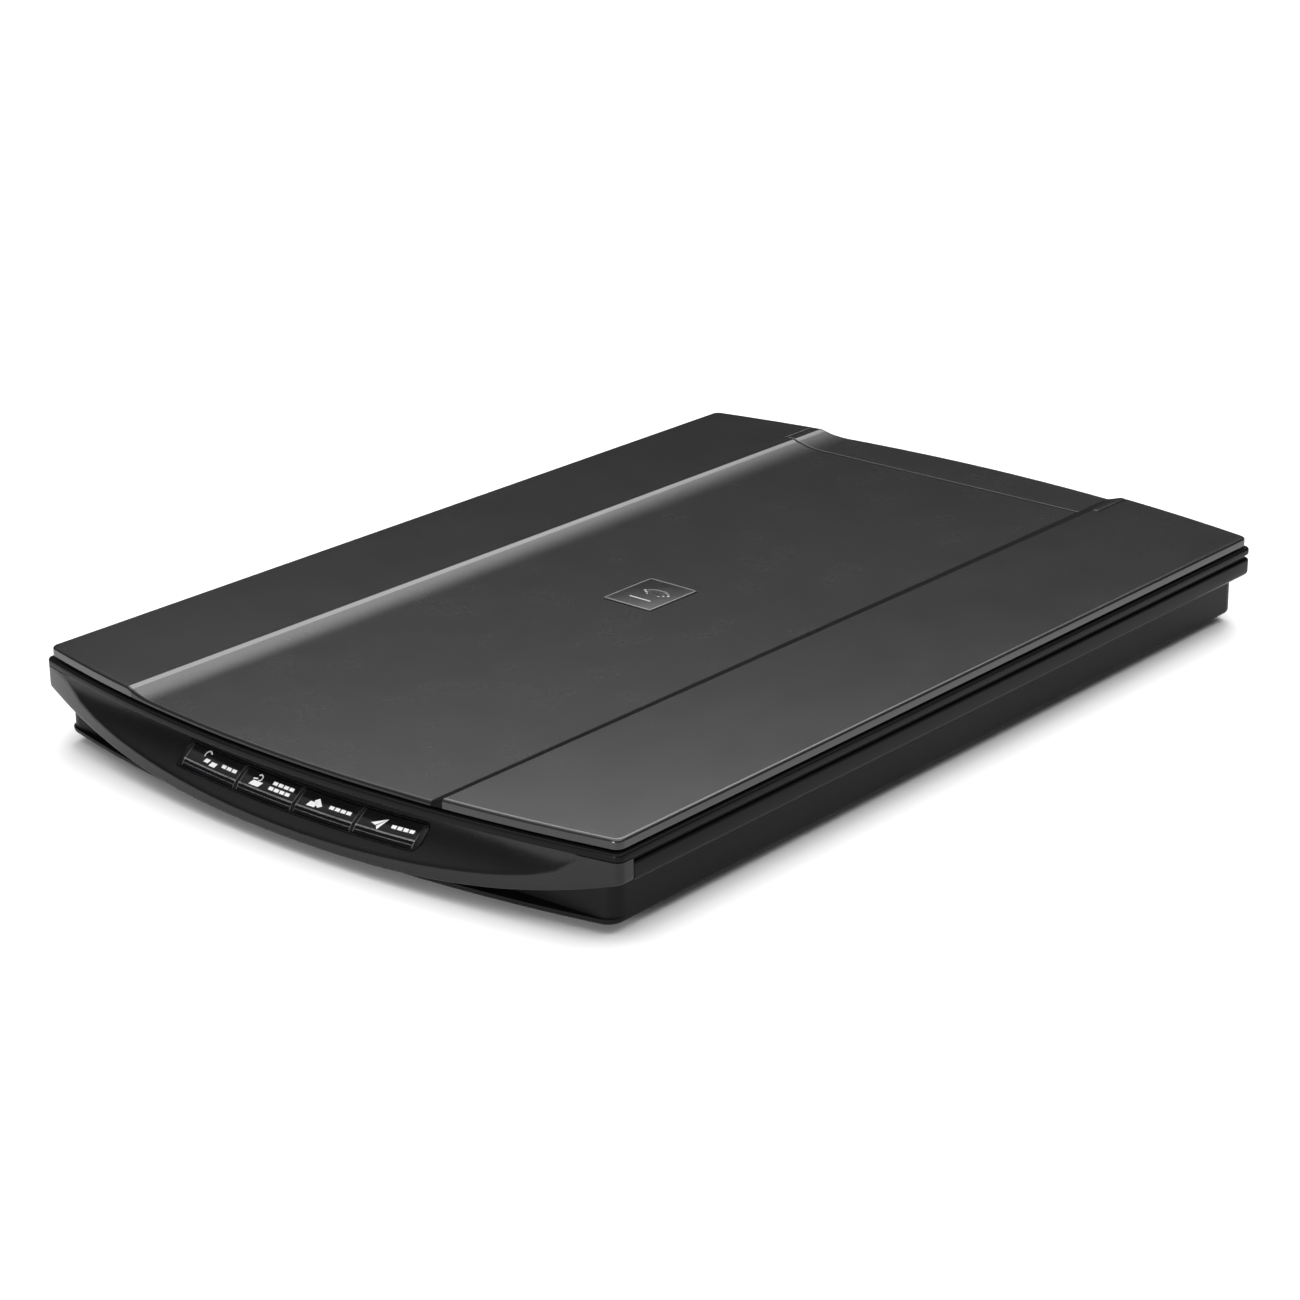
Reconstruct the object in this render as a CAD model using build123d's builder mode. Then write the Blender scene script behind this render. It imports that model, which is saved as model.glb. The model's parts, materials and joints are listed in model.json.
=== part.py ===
"""Slim A4 flatbed scanner with a contact image sensor and a lift-up lid.

Millimetres. The origin is on the table plane below the middle of the case. +Z is up, -Y is
the front edge with the buttons, +Y is the hinge edge and X runs across the scanner.
"""

import os
from math import pi

from build123d import *

# ---- plan of the case ----
HALF_X = 125.0            # shell side
CORNER_Y = 172.0          # end of the straight sides
CROWN_Y = 186.0           # middle of the bowed front and rear edges
SHELL_R = 3.0             # plan corner radius
WALL = 2.2

# ---- levels above the table ----
FOOT_H = 3.0
FLOOR_T = 2.2
FLOOR_TOP = FOOT_H + FLOOR_T
PARTING_Z = 18.2          # lower edge of the shell
GROOVE_LOW = 24.4         # shadow groove round the shell
GROOVE_TOP = 26.0
RIM_Z = 28.6
DECK_Z = 26.9             # sunk deck inside the rim
DECK_T = 1.4
DECK_UNDER = DECK_Z - DECK_T
TAPE_T = 0.2
GLASS_T = 2.8
GLASS_TOP = DECK_UNDER - TAPE_T
GLASS_UNDER = GLASS_TOP - GLASS_T
LID_EDGE_Z = 29.5
LID_MID_Z = 30.6          # top of the lower middle zone
LID_TOP_Z = 32.5          # top of the two side zones

ABOVE_Z = 40.0            # clear above everything, for cuts that run out of the top

# ---- shell ----
GROOVE_DEPTH = 1.2
RIM_WIDTH = 5.5
TUB_HALF_X = 119.5
TUB_REAR_CORNER = 170.5
TUB_REAR_CROWN = 184.0
TUB_FRONT_CORNER = 169.0
TUB_FRONT_CROWN = 172.6
FLOOR_FRONT_CROWN = 183.2
FLANGE_T = 1.8
FASCIA_SEAM_Y = 166.0
HINGE_BAY_HALF_X = 83.0   # the rim stops here at the rear, to let the lid turn
HINGE_BAY_Z = 26.3        # deck level under the lid's rear edge
HINGE_BAY_Y = 173.5
POCKET_FRONT = (171.5, 171.9)
SHELL_REAR = (CORNER_Y - WALL, CROWN_Y - WALL)
FLANGE_FRONT = (163.0, 163.2)
FLANGE_REAR = (169.5, 183.5)
BAND_ROUND = 1.6          # lower edge of the shell
BAND_TOP_ROUND = 0.7
RIM_TOP_BEVEL = 0.7
RIM_LOW_BEVEL = 0.4
LID_BEVEL = 0.8

# ---- scoop across the front ----
SCOOP_TOP = GROOVE_TOP
SCOOP_DEPTH = 11.3
SCOOP_H = 18.0
APRON_Z = 4.2

# ---- lid ----
LID_INSET = 1.2
LID_CROWN = 184.5
LEFT_CREST_X = -76.0      # convex edge, with a hollow slope down to the middle zone
LEFT_FOOT_X = -63.0
RIGHT_FOOT_X = 58.0       # straight slope up to the right zone
RIGHT_CREST_X = 64.0
PIVOT_Y = 176.6
PIVOT_Z = 31.0
PIN_R = 0.9
PIN_PLAY = 0.05
CUTOUT_Y = 161.0
COVER_X0 = -79.6
COVER_X1 = 66.0
COVER_GAP = 0.4
LEG_X = (-52.0, 38.0)
LEG_Y = 173.2
LEG_W = 10.0
LEG_T = 4.4
LEG_PLAY = 0.4

# ---- scan window ----
OPEN_HALF_X = 108.25
OPEN_Y0 = -159.5
OPEN_Y1 = 138.5
OPEN_MID_Y = (OPEN_Y0 + OPEN_Y1) / 2
OPEN_LENGTH = OPEN_Y1 - OPEN_Y0
GLASS_MARGIN_X = 5.5
GLASS_MARGIN_Y = 6.0

# ---- carriage, at its home place near the front ----
LENS_Y = -156.0
SHAFT_X = 26.0
SHAFT_Z = 8.6
SHAFT_R = 3.0
SHAFT_PLAY = 0.05
MODULE = 0.8
PINION_TEETH = 12
WHEEL_TEETH = 24
MOTOR_TEETH = 10
PINION_R = MODULE * PINION_TEETH / 2
WHEEL_R = MODULE * WHEEL_TEETH / 2
MOTOR_PINION_R = MODULE * MOTOR_TEETH / 2
GEAR_X = PINION_R
GEAR_Y = LENS_Y + 21.0
MOTOR_X = GEAR_X - WHEEL_R - MOTOR_PINION_R
MOTOR_BODY_R = 9.5
RACK_TOP = 7.9
WHEEL_Z = 8.2
WHEEL_T = 1.6
BAY_Z = 10.1
BAY_T = 1.6

# ---- buttons ----
BUTTON_COUNT = 4
BUTTON_PITCH = 25.6
BUTTON_ROW_X = 1.0
BUTTON_W = 24.4
BUTTON_H = 8.1
BUTTON_LEAN = 1.7         # sideways lean of the button ends
BUTTON_TOP_Z = 18.2
BUTTON_LOW_Z = 12.3
STUD_UP = -1.6            # the switches sit below the middle of the buttons


def finish(builder, name):
    """Label a finished piece and write it to its own file."""
    builder.part.label = name
    export_step(builder.part, f"parts/{name}.step")


def plan(z, half_x, front, rear, radius):
    """Plan face with straight sides; front and rear are (corner, crown) distances."""
    front_corner, front_crown = front
    rear_corner, rear_crown = rear
    with BuildSketch(Plane.XY.offset(z)) as outline:
        with BuildLine():
            ThreePointArc((-half_x, -front_corner), (0, -front_crown), (half_x, -front_corner))
            Line((half_x, -front_corner), (half_x, rear_corner))
            ThreePointArc((half_x, rear_corner), (0, rear_crown), (-half_x, rear_corner))
            Line((-half_x, rear_corner), (-half_x, -front_corner))
        make_face()
        fillet(outline.vertices(), radius)
    return outline.sketch


def case_plan(z, inset, radius=SHELL_R):
    """The shell's plan, drawn in by an inset."""
    ends = (CORNER_Y - inset, CROWN_Y - inset)
    return plan(z, HALF_X - inset, ends, ends, radius)


def lid_plan(z, inset=0.0, radius=SHELL_R):
    """The lid's plan, drawn in by an inset."""
    ends = (CORNER_Y - LID_INSET - inset, LID_CROWN - inset)
    return plan(z, HALF_X - LID_INSET - inset, ends, ends, radius)


def slab(x0, x1, y0, y1, z0, z1):
    """Rectangular block between two corners, for cutting and for plain plates."""
    centre = Pos((x0 + x1) / 2, (y0 + y1) / 2, (z0 + z1) / 2)
    return centre * Box(x1 - x0, y1 - y0, z1 - z0, mode=Mode.PRIVATE)


def scoop_y(z):
    """Depth line of the scoop: deepest under the rim, running out at the lip."""
    drop = (SCOOP_TOP - z) / SCOOP_H
    return -CROWN_Y + SCOOP_DEPTH * (1 - drop ** 2)


def scoop_face(shift, top, reach_y):
    """Section of the scoop, moved back by shift and closed at reach_y."""
    heights = [SCOOP_TOP - SCOOP_H * step / 5 for step in range(6)]
    points = [(scoop_y(z) + shift, z) for z in heights]
    lip = points[-1]
    with BuildSketch(Plane.YZ) as section:
        with BuildLine():
            Spline(*points)
            Polyline(lip, (reach_y, lip[1]), (reach_y, top), (points[0][0], top), points[0])
        make_face()
    return section.sketch


# ---------------------------------------------------------------- case

def side_bands():
    """Solid shell: lower band, shadow groove and rounded rim."""
    with BuildPart() as bands:
        extrude(case_plan(PARTING_Z, 0), amount=GROOVE_LOW - PARTING_Z)
        fillet(bands.faces().sort_by(Axis.Z)[0].edges(), BAND_ROUND)
        fillet(bands.faces().sort_by(Axis.Z)[-1].edges(), BAND_TOP_ROUND)
        extrude(case_plan(GROOVE_LOW, GROOVE_DEPTH), amount=GROOVE_TOP - GROOVE_LOW)
        with BuildPart(mode=Mode.PRIVATE) as rim:
            extrude(case_plan(GROOVE_TOP, 0), amount=RIM_Z - GROOVE_TOP)
            chamfer(rim.faces().sort_by(Axis.Z)[0].edges(), RIM_LOW_BEVEL)
            chamfer(rim.faces().sort_by(Axis.Z)[-1].edges(), RIM_TOP_BEVEL)
        add(rim.part)
    return bands.part


SCREW_SPOTS = ((-108.0, 162.0), (-8.0, 175.0), (108.0, 162.0))
BOSS_R = 3.0
BOSS_Z = FLOOR_TOP + 3.0
SCREW_R = 1.25
with BuildPart() as screw_bosses:
    with BuildSketch(Plane.XY.offset(BOSS_Z)):
        with Locations(*SCREW_SPOTS):
            Circle(BOSS_R)
            Circle(SCREW_R, mode=Mode.SUBTRACT)
    extrude(amount=DECK_UNDER - BOSS_Z)

with BuildPart() as upper_frame:
    add(side_bands())
    extrude(plan(PARTING_Z - 1, HALF_X - WALL, POCKET_FRONT, SHELL_REAR, 2),
            amount=DECK_UNDER - PARTING_Z + 1, mode=Mode.SUBTRACT)
    add(slab(-130, 130, -200, -FASCIA_SEAM_Y, 0, GROOVE_TOP), mode=Mode.SUBTRACT)
    extrude(case_plan(DECK_Z, RIM_WIDTH), amount=5, mode=Mode.SUBTRACT)
    add(slab(-HINGE_BAY_HALF_X, HINGE_BAY_HALF_X, 163, 200, DECK_Z, ABOVE_Z), mode=Mode.SUBTRACT)
    add(slab(-HINGE_BAY_HALF_X, HINGE_BAY_HALF_X, HINGE_BAY_Y, 200, HINGE_BAY_Z, ABOVE_Z),
        mode=Mode.SUBTRACT)
    with BuildSketch(Plane.XY.offset(DECK_UNDER - 1)):
        with Locations((0, OPEN_MID_Y)):
            RectangleRounded(2 * OPEN_HALF_X, OPEN_LENGTH, 2)
    extrude(amount=4, mode=Mode.SUBTRACT)
    with BuildSketch(Plane.XY.offset(DECK_UNDER - 1)):
        with Locations(*[(x, LEG_Y) for x in LEG_X]):
            Rectangle(LEG_W + 2 * LEG_PLAY, LEG_T + 2 * LEG_PLAY)
    extrude(amount=4, mode=Mode.SUBTRACT)
    add(screw_bosses.part)
finish(upper_frame, "upper_frame")

tub_rear = (TUB_REAR_CORNER, TUB_REAR_CROWN)
tub_front = (TUB_FRONT_CORNER, TUB_FRONT_CROWN)
floor_front = (TUB_FRONT_CORNER, FLOOR_FRONT_CROWN)
inner_front = (TUB_FRONT_CORNER - WALL, TUB_FRONT_CROWN - WALL)
inner_rear = (TUB_REAR_CORNER - WALL, TUB_REAR_CROWN - WALL)
FOOT_SPOTS = ((-102.0, -148.0), (102.0, -148.0), (-102.0, 148.0), (102.0, 148.0))
FOOT_R = 6.0
USB_X = 80.0
USB_Z = 11.2
USB_SHELL_W = 7.8
USB_SHELL_H = 4.0
LOCK_X = -62.0
LOCK_Y = -120.0
LOCK_TRAVEL = 6.0
LOCK_PAD_R = 3.2
LOCK_STEM_W = 2.6
LOCK_STEM_L = 4.4
LOCK_WELL_TOP = FOOT_H + 1.0
SCREW_WELL_R = 2.4
SCREW_SEAT_Z = FOOT_H + 2.6
SCREW_HEAD_T = 1.7
POST_R = 2.4
BOARD_X0, BOARD_X1 = 58.0, 100.0
BOARD_Y0, BOARD_Y1 = 149.5, 171.5
BOARD_Z = 7.6
BOARD_T = 1.4
BOARD_SCREW_SPOTS = ((BOARD_X0 + 3, BOARD_Y0 + 3), (BOARD_X1 - 3, BOARD_Y0 + 3))
with BuildPart() as lower_case:
    extrude(plan(FOOT_H, TUB_HALF_X, floor_front, tub_rear, 6), amount=FLOOR_T)
    fillet(lower_case.faces().sort_by(Axis.Z)[0].edges(), 1.8)
    extrude(plan(FLOOR_TOP, TUB_HALF_X, tub_front, tub_rear, 6), amount=PARTING_Z - FLOOR_TOP)
    extrude(plan(PARTING_Z, HALF_X - WALL - 0.2, FLANGE_FRONT, FLANGE_REAR, 3),
            amount=FLANGE_T)
    extrude(plan(FLOOR_TOP, TUB_HALF_X - WALL, inner_front, inner_rear, 4),
            amount=30, mode=Mode.SUBTRACT)
    with BuildSketch(Plane.XY.offset(FLOOR_TOP)):
        with Locations(*[(x, LEG_Y) for x in LEG_X]):
            Rectangle(LEG_W + 4, LEG_T + 3.6)
    extrude(amount=DECK_UNDER - FLOOR_TOP - 0.3)
    with BuildSketch(Plane.XY.offset(FLOOR_TOP)):
        with Locations(*[(x, LEG_Y) for x in LEG_X]):
            Rectangle(LEG_W + 2 * LEG_PLAY, LEG_T + 2 * LEG_PLAY)
    extrude(amount=30, mode=Mode.SUBTRACT)
    with BuildSketch(Plane.XY.offset(FLOOR_TOP)):
        with Locations(*SCREW_SPOTS):
            Circle(BOSS_R)
    extrude(amount=BOSS_Z - FLOOR_TOP - 0.1)
    with BuildSketch(Plane.XY.offset(FLOOR_TOP)):
        with Locations(*BOARD_SCREW_SPOTS):
            Circle(POST_R)
    extrude(amount=BOARD_Z - FLOOR_TOP)
    with BuildSketch(Plane.XY.offset(FOOT_H)):
        with Locations(*SCREW_SPOTS):
            Circle(SCREW_WELL_R)
    extrude(amount=SCREW_SEAT_Z - FOOT_H, mode=Mode.SUBTRACT)
    with BuildSketch(Plane.XY.offset(FOOT_H)):
        with Locations(*SCREW_SPOTS):
            Circle(SCREW_R + 0.25)
    extrude(amount=10, mode=Mode.SUBTRACT)
    with BuildSketch(Plane.XZ.offset(-200)):
        with Locations((USB_X, USB_Z)):
            RectangleRounded(USB_SHELL_W + 0.8, USB_SHELL_H + 0.9, 1.0)
    extrude(amount=30, mode=Mode.SUBTRACT)
    with BuildSketch(Plane.XY.offset(FOOT_H - 1)):
        with Locations((LOCK_X, LOCK_Y)):
            SlotCenterToCenter(LOCK_TRAVEL + 1.2, 2 * LOCK_PAD_R + 0.6, rotation=90)
    extrude(amount=LOCK_WELL_TOP - FOOT_H + 1, mode=Mode.SUBTRACT)
    with BuildSketch(Plane.XY.offset(FOOT_H - 1)):
        with Locations((LOCK_X, LOCK_Y)):
            Rectangle(LOCK_STEM_W + 0.4, LOCK_STEM_L + LOCK_TRAVEL + 0.6)
    extrude(amount=5, mode=Mode.SUBTRACT)
finish(lower_case, "lower_case")

with BuildPart() as rubber_feet:
    with BuildSketch(Plane.XY):
        with Locations(*FOOT_SPOTS):
            Circle(FOOT_R)
    extrude(amount=FOOT_H)
    fillet(rubber_feet.edges().filter_by(GeomType.CIRCLE).group_by(Axis.Z)[0], 0.8)
finish(rubber_feet, "rubber_feet")

with BuildPart() as case_screws:
    with BuildSketch(Plane.XY.offset(SCREW_SEAT_Z - SCREW_HEAD_T)):
        with Locations(*SCREW_SPOTS):
            Circle(SCREW_WELL_R - 0.2)
    extrude(amount=SCREW_HEAD_T)
    with BuildSketch(Plane.XY.offset(SCREW_SEAT_Z)):
        with Locations(*SCREW_SPOTS):
            Circle(SCREW_R - 0.02)
    extrude(amount=9)
    with BuildSketch(Plane.XY.offset(SCREW_SEAT_Z - SCREW_HEAD_T)):
        with Locations(*SCREW_SPOTS):
            Rectangle(2.6, 0.6)
            Rectangle(0.6, 2.6)
    extrude(amount=0.9, mode=Mode.SUBTRACT)
finish(case_screws, "case_screws")

# ---------------------------------------------------------------- front

button_low = Vector(0, scoop_y(BUTTON_LOW_Z), BUTTON_LOW_Z)
button_top = Vector(0, scoop_y(BUTTON_TOP_Z), BUTTON_TOP_Z)
button_mid = (button_low + button_top) * 0.5
slope = (button_top - button_low).normalized()
button_out = Vector(1, 0, 0).cross(slope)
row_plane = Plane(origin=button_mid, x_dir=(1, 0, 0), z_dir=button_out)
SURROUND_W = BUTTON_PITCH * BUTTON_COUNT + 3.0
SURROUND_H = 10.0
SURROUND_FRONT = 0.5
SURROUND_BACK = 1.6
BUTTON_FRONT = 0.8
BUTTON_TRAVEL = 0.6


def leaning_plate(width, height, centre_x, depth):
    """Four-sided face with leaning ends, depth measured out from the row's plane."""
    lean = BUTTON_LEAN * height / BUTTON_H / 2
    half_w = width / 2
    half_h = height / 2
    with BuildSketch(row_plane.offset(depth)) as face:
        with BuildLine():
            Polyline((centre_x - half_w - lean, -half_h), (centre_x + half_w - lean, -half_h),
                     (centre_x + half_w + lean, half_h), (centre_x - half_w + lean, half_h),
                     close=True)
        make_face()
    return face.sketch


APRON_HALF = ((55.0, 5.7), (89.0, 10.1), (115.0, 15.2), (125.5, 19.0))
apron_right = [(0, APRON_Z), *APRON_HALF]
apron_left = [(-x, z) for x, z in reversed(APRON_HALF)]
with BuildPart() as fascia_core:
    extrude(case_plan(0, WALL, 2), amount=24)
    extrude(scoop_face(WALL + 0.6, 40, -100), amount=130, both=True, mode=Mode.INTERSECT)
with BuildPart() as fascia_low_core:
    extrude(case_plan(0, WALL, 2), amount=SCOOP_TOP - SCOOP_H)
with BuildPart() as front_fascia:
    extrude(case_plan(APRON_Z - 1, 0), amount=GROOVE_TOP - 0.1 - APRON_Z + 1)
    split(bisect_by=Plane.XZ.offset(FASCIA_SEAM_Y + 0.15), keep=Keep.TOP)
    extrude(scoop_face(0, 40, -220), amount=130, both=True, mode=Mode.SUBTRACT)
    add(fascia_core.part, mode=Mode.SUBTRACT)
    add(fascia_low_core.part, mode=Mode.SUBTRACT)
    with BuildSketch(Plane.XZ):
        with BuildLine():
            Spline(*apron_left, *apron_right)
            Polyline(apron_right[-1], (130, -5), (-130, -5), apron_left[0])
        make_face()
    extrude(amount=220, both=True, mode=Mode.SUBTRACT)
    extrude(leaning_plate(SURROUND_W, SURROUND_H, BUTTON_ROW_X, -6), amount=12,
            mode=Mode.SUBTRACT)
finish(front_fascia, "front_fascia")

button_centres = [BUTTON_ROW_X + BUTTON_PITCH * (i - (BUTTON_COUNT - 1) / 2)
                  for i in range(BUTTON_COUNT)]
with BuildPart() as button_surround:
    extrude(leaning_plate(SURROUND_W - 0.2, SURROUND_H - 0.2, BUTTON_ROW_X, -SURROUND_BACK),
            amount=SURROUND_BACK + SURROUND_FRONT)
    for centre_x in button_centres:
        extrude(leaning_plate(BUTTON_W + 0.6, BUTTON_H + 0.6, centre_x, -3), amount=6,
                mode=Mode.SUBTRACT)
finish(button_surround, "button_surround")

for number, centre_x in enumerate(button_centres, start=1):
    with BuildPart() as button:
        extrude(leaning_plate(BUTTON_W, BUTTON_H, centre_x, -SURROUND_BACK - 0.7),
                amount=SURROUND_BACK + 0.7 + BUTTON_FRONT)
        fillet(button.faces().sort_by(Axis(button_mid, button_out))[-1].edges(), 0.3)
        extrude(leaning_plate(BUTTON_W + 0.9, BUTTON_H + 0.9, centre_x, -SURROUND_BACK - 0.7),
                amount=0.6)
        with BuildSketch(row_plane.offset(-SURROUND_BACK - 1.0)):
            with Locations((centre_x, STUD_UP)):
                Circle(1.2)
        extrude(amount=0.5)
    finish(button, f"button_{number}")

PLUNGER_FRONT = -SURROUND_BACK - 1.0 - BUTTON_TRAVEL - 0.05
with BuildPart() as tact_switches:
    with BuildSketch(row_plane.offset(PLUNGER_FRONT - 0.5)):
        with Locations(*[(x, STUD_UP) for x in button_centres]):
            Circle(0.9)
    extrude(amount=0.5)
    with BuildSketch(row_plane.offset(PLUNGER_FRONT - 1.9)):
        with Locations(*[(x, STUD_UP) for x in button_centres]):
            Rectangle(4.6, 3.6)
    extrude(amount=1.4)
finish(tact_switches, "tact_switches")

with BuildPart() as button_board:
    with BuildSketch(row_plane.offset(PLUNGER_FRONT - 2.9)):
        with Locations((BUTTON_ROW_X, STUD_UP)):
            RectangleRounded(100, 6.2, 0.8)
    extrude(amount=1.0)
finish(button_board, "button_board")

# ---------------------------------------------------------------- glass

GLASS_HALF_X = OPEN_HALF_X + GLASS_MARGIN_X
GLASS_LENGTH = OPEN_LENGTH + 2 * GLASS_MARGIN_Y
GLASS_Y0 = OPEN_Y0 - GLASS_MARGIN_Y
with BuildPart() as platen_glass:
    with BuildSketch(Plane.XY.offset(GLASS_UNDER)):
        with Locations((0, OPEN_MID_Y)):
            Rectangle(2 * GLASS_HALF_X, GLASS_LENGTH)
    extrude(amount=GLASS_T)
    chamfer(platen_glass.edges().filter_by(Axis.Z), 1.5)
finish(platen_glass, "platen_glass")

with BuildPart() as glass_tape:
    add(slab(-GLASS_HALF_X + 1, GLASS_HALF_X - 1, GLASS_Y0 + 0.3, OPEN_Y1 + 5.5,
             GLASS_TOP, DECK_UNDER))
    add(slab(-110.5, 110.5, GLASS_Y0 + 1.4, OPEN_Y1 + 2.0, GLASS_TOP - 1, DECK_UNDER + 1),
        mode=Mode.SUBTRACT)
finish(glass_tape, "glass_tape")

with BuildPart() as white_reference_strip:
    add(slab(-109.5, 109.5, GLASS_Y0 + 1.6, OPEN_Y0 - 0.4, GLASS_TOP, DECK_UNDER))
finish(white_reference_strip, "white_reference_strip")

# ---------------------------------------------------------------- drive

def gear_face(z, centre, teeth, first_angle):
    """Spur gear with plain trapezoid teeth and generous backlash."""
    pitch_r = MODULE * teeth / 2
    root_r = pitch_r - 1.25 * MODULE
    tip_r = pitch_r + 0.85 * MODULE
    with BuildSketch(Plane.XY.offset(z)) as face:
        with Locations(centre):
            Circle(root_r)
            with PolarLocations(0, teeth, start_angle=first_angle):
                Polygon((root_r - 0.4, -0.72), (tip_r, -0.26), (tip_r, 0.26),
                        (root_r - 0.4, 0.72), align=None)
    return face.sketch


TOOTH_PITCH = pi * MODULE
FLANGE_SCREW_R = 11.9
RACK_HALF_TEETH = 66
AXLE_R = 1.2
with BuildPart() as drive_rack:
    add(slab(-5.0, -MODULE * 1.2, -168.5, 168.5, FLOOR_TOP, RACK_TOP))
    with BuildSketch(Plane.XY.offset(FLOOR_TOP)):
        rack_spots = [(-MODULE * 1.2, GEAR_Y + (k + 0.5) * TOOTH_PITCH)
                      for k in range(-RACK_HALF_TEETH, RACK_HALF_TEETH * 2)]
        rack_spots = [spot for spot in rack_spots if abs(spot[1]) < 167]
        with Locations(*rack_spots):
            Polygon((-0.3, -0.78), (MODULE * 2.0, -0.24), (MODULE * 2.0, 0.24), (-0.3, 0.78),
                    align=None)
    extrude(amount=RACK_TOP - FLOOR_TOP)
finish(drive_rack, "drive_rack")

with BuildPart() as reduction_gear:
    extrude(gear_face(FLOOR_TOP + 0.4, (GEAR_X, GEAR_Y), PINION_TEETH, 180),
            amount=WHEEL_Z - FLOOR_TOP - 0.4)
    extrude(gear_face(WHEEL_Z, (GEAR_X, GEAR_Y), WHEEL_TEETH, 180), amount=WHEEL_T)
    with BuildSketch(Plane.XY):
        with Locations((GEAR_X, GEAR_Y)):
            Circle(AXLE_R + PIN_PLAY)
    extrude(amount=20, mode=Mode.SUBTRACT)
finish(reduction_gear, "reduction_gear")

SPINDLE_R = 1.0
with BuildPart() as motor_pinion:
    extrude(gear_face(WHEEL_Z, (MOTOR_X, GEAR_Y), MOTOR_TEETH, 180 / MOTOR_TEETH),
            amount=WHEEL_T)
    with BuildSketch(Plane.XY):
        with Locations((MOTOR_X, GEAR_Y)):
            Circle(SPINDLE_R)
    extrude(amount=20, mode=Mode.SUBTRACT)
finish(motor_pinion, "motor_pinion")

with BuildPart() as motor_spindle:
    with BuildSketch(Plane.XY.offset(WHEEL_Z - 0.1)):
        with Locations((MOTOR_X, GEAR_Y)):
            Circle(SPINDLE_R)
    extrude(amount=6)
finish(motor_spindle, "motor_spindle")

with BuildPart() as gear_axle:
    with BuildSketch(Plane.XY.offset(FLOOR_TOP + 0.5)):
        with Locations((GEAR_X, GEAR_Y)):
            Circle(AXLE_R)
    extrude(amount=BAY_Z + BAY_T - FLOOR_TOP - 0.5)
finish(gear_axle, "gear_axle")

MOTOR_Z = BAY_Z + BAY_T
MOTOR_H = 9.3
with BuildPart() as stepper_motor:
    with BuildSketch(Plane.XY.offset(MOTOR_Z)):
        with Locations((MOTOR_X, GEAR_Y)):
            Circle(MOTOR_BODY_R)
    extrude(amount=MOTOR_H)
    fillet(stepper_motor.edges().sort_by(Axis.Z)[-1], 0.8)
    with BuildSketch(Plane.XY.offset(MOTOR_Z)):
        with Locations((MOTOR_X, GEAR_Y)):
            with PolarLocations(FLANGE_SCREW_R, 2, start_angle=45):
                Circle(2.2)
            Rectangle(2 * FLANGE_SCREW_R, 4.4, rotation=45)
    extrude(amount=0.8)
    with BuildSketch(Plane.XY.offset(MOTOR_Z - 1)):
        with Locations((MOTOR_X, GEAR_Y)):
            Circle(SPINDLE_R + 0.06)
            with PolarLocations(FLANGE_SCREW_R, 2, start_angle=45):
                Circle(1.1)
    extrude(amount=4, mode=Mode.SUBTRACT)
finish(stepper_motor, "stepper_motor")

with BuildPart() as motor_screws:
    with BuildSketch(Plane.XY.offset(MOTOR_Z + 0.8)):
        with Locations((MOTOR_X, GEAR_Y)):
            with PolarLocations(FLANGE_SCREW_R, 2, start_angle=45):
                Circle(1.8)
    extrude(amount=1.1)
    with BuildSketch(Plane.XY.offset(MOTOR_Z - 1.2)):
        with Locations((MOTOR_X, GEAR_Y)):
            with PolarLocations(FLANGE_SCREW_R, 2, start_angle=45):
                Circle(1.0)
    extrude(amount=2.0)
finish(motor_screws, "motor_screws")

with BuildPart() as guide_shaft:
    with BuildSketch(Plane.XZ.offset(-170.4)):
        with Locations((SHAFT_X, SHAFT_Z)):
            Circle(SHAFT_R)
    extrude(amount=340.0)
    chamfer(guide_shaft.edges().filter_by(GeomType.CIRCLE), 0.4)
finish(guide_shaft, "guide_shaft")

CLIP_T = 2.4
with BuildPart() as shaft_clips:
    for clip_y in (-169.8, 168.4):
        add(slab(SHAFT_X - 5.0, SHAFT_X + 5.0, clip_y, clip_y + CLIP_T, FLOOR_TOP, SHAFT_Z + 3.6))
    with BuildSketch(Plane.XZ.offset(-200)):
        with Locations((SHAFT_X, SHAFT_Z)):
            Circle(SHAFT_R)
    extrude(amount=400, mode=Mode.SUBTRACT)
finish(shaft_clips, "shaft_clips")

# ---------------------------------------------------------------- carriage

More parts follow.
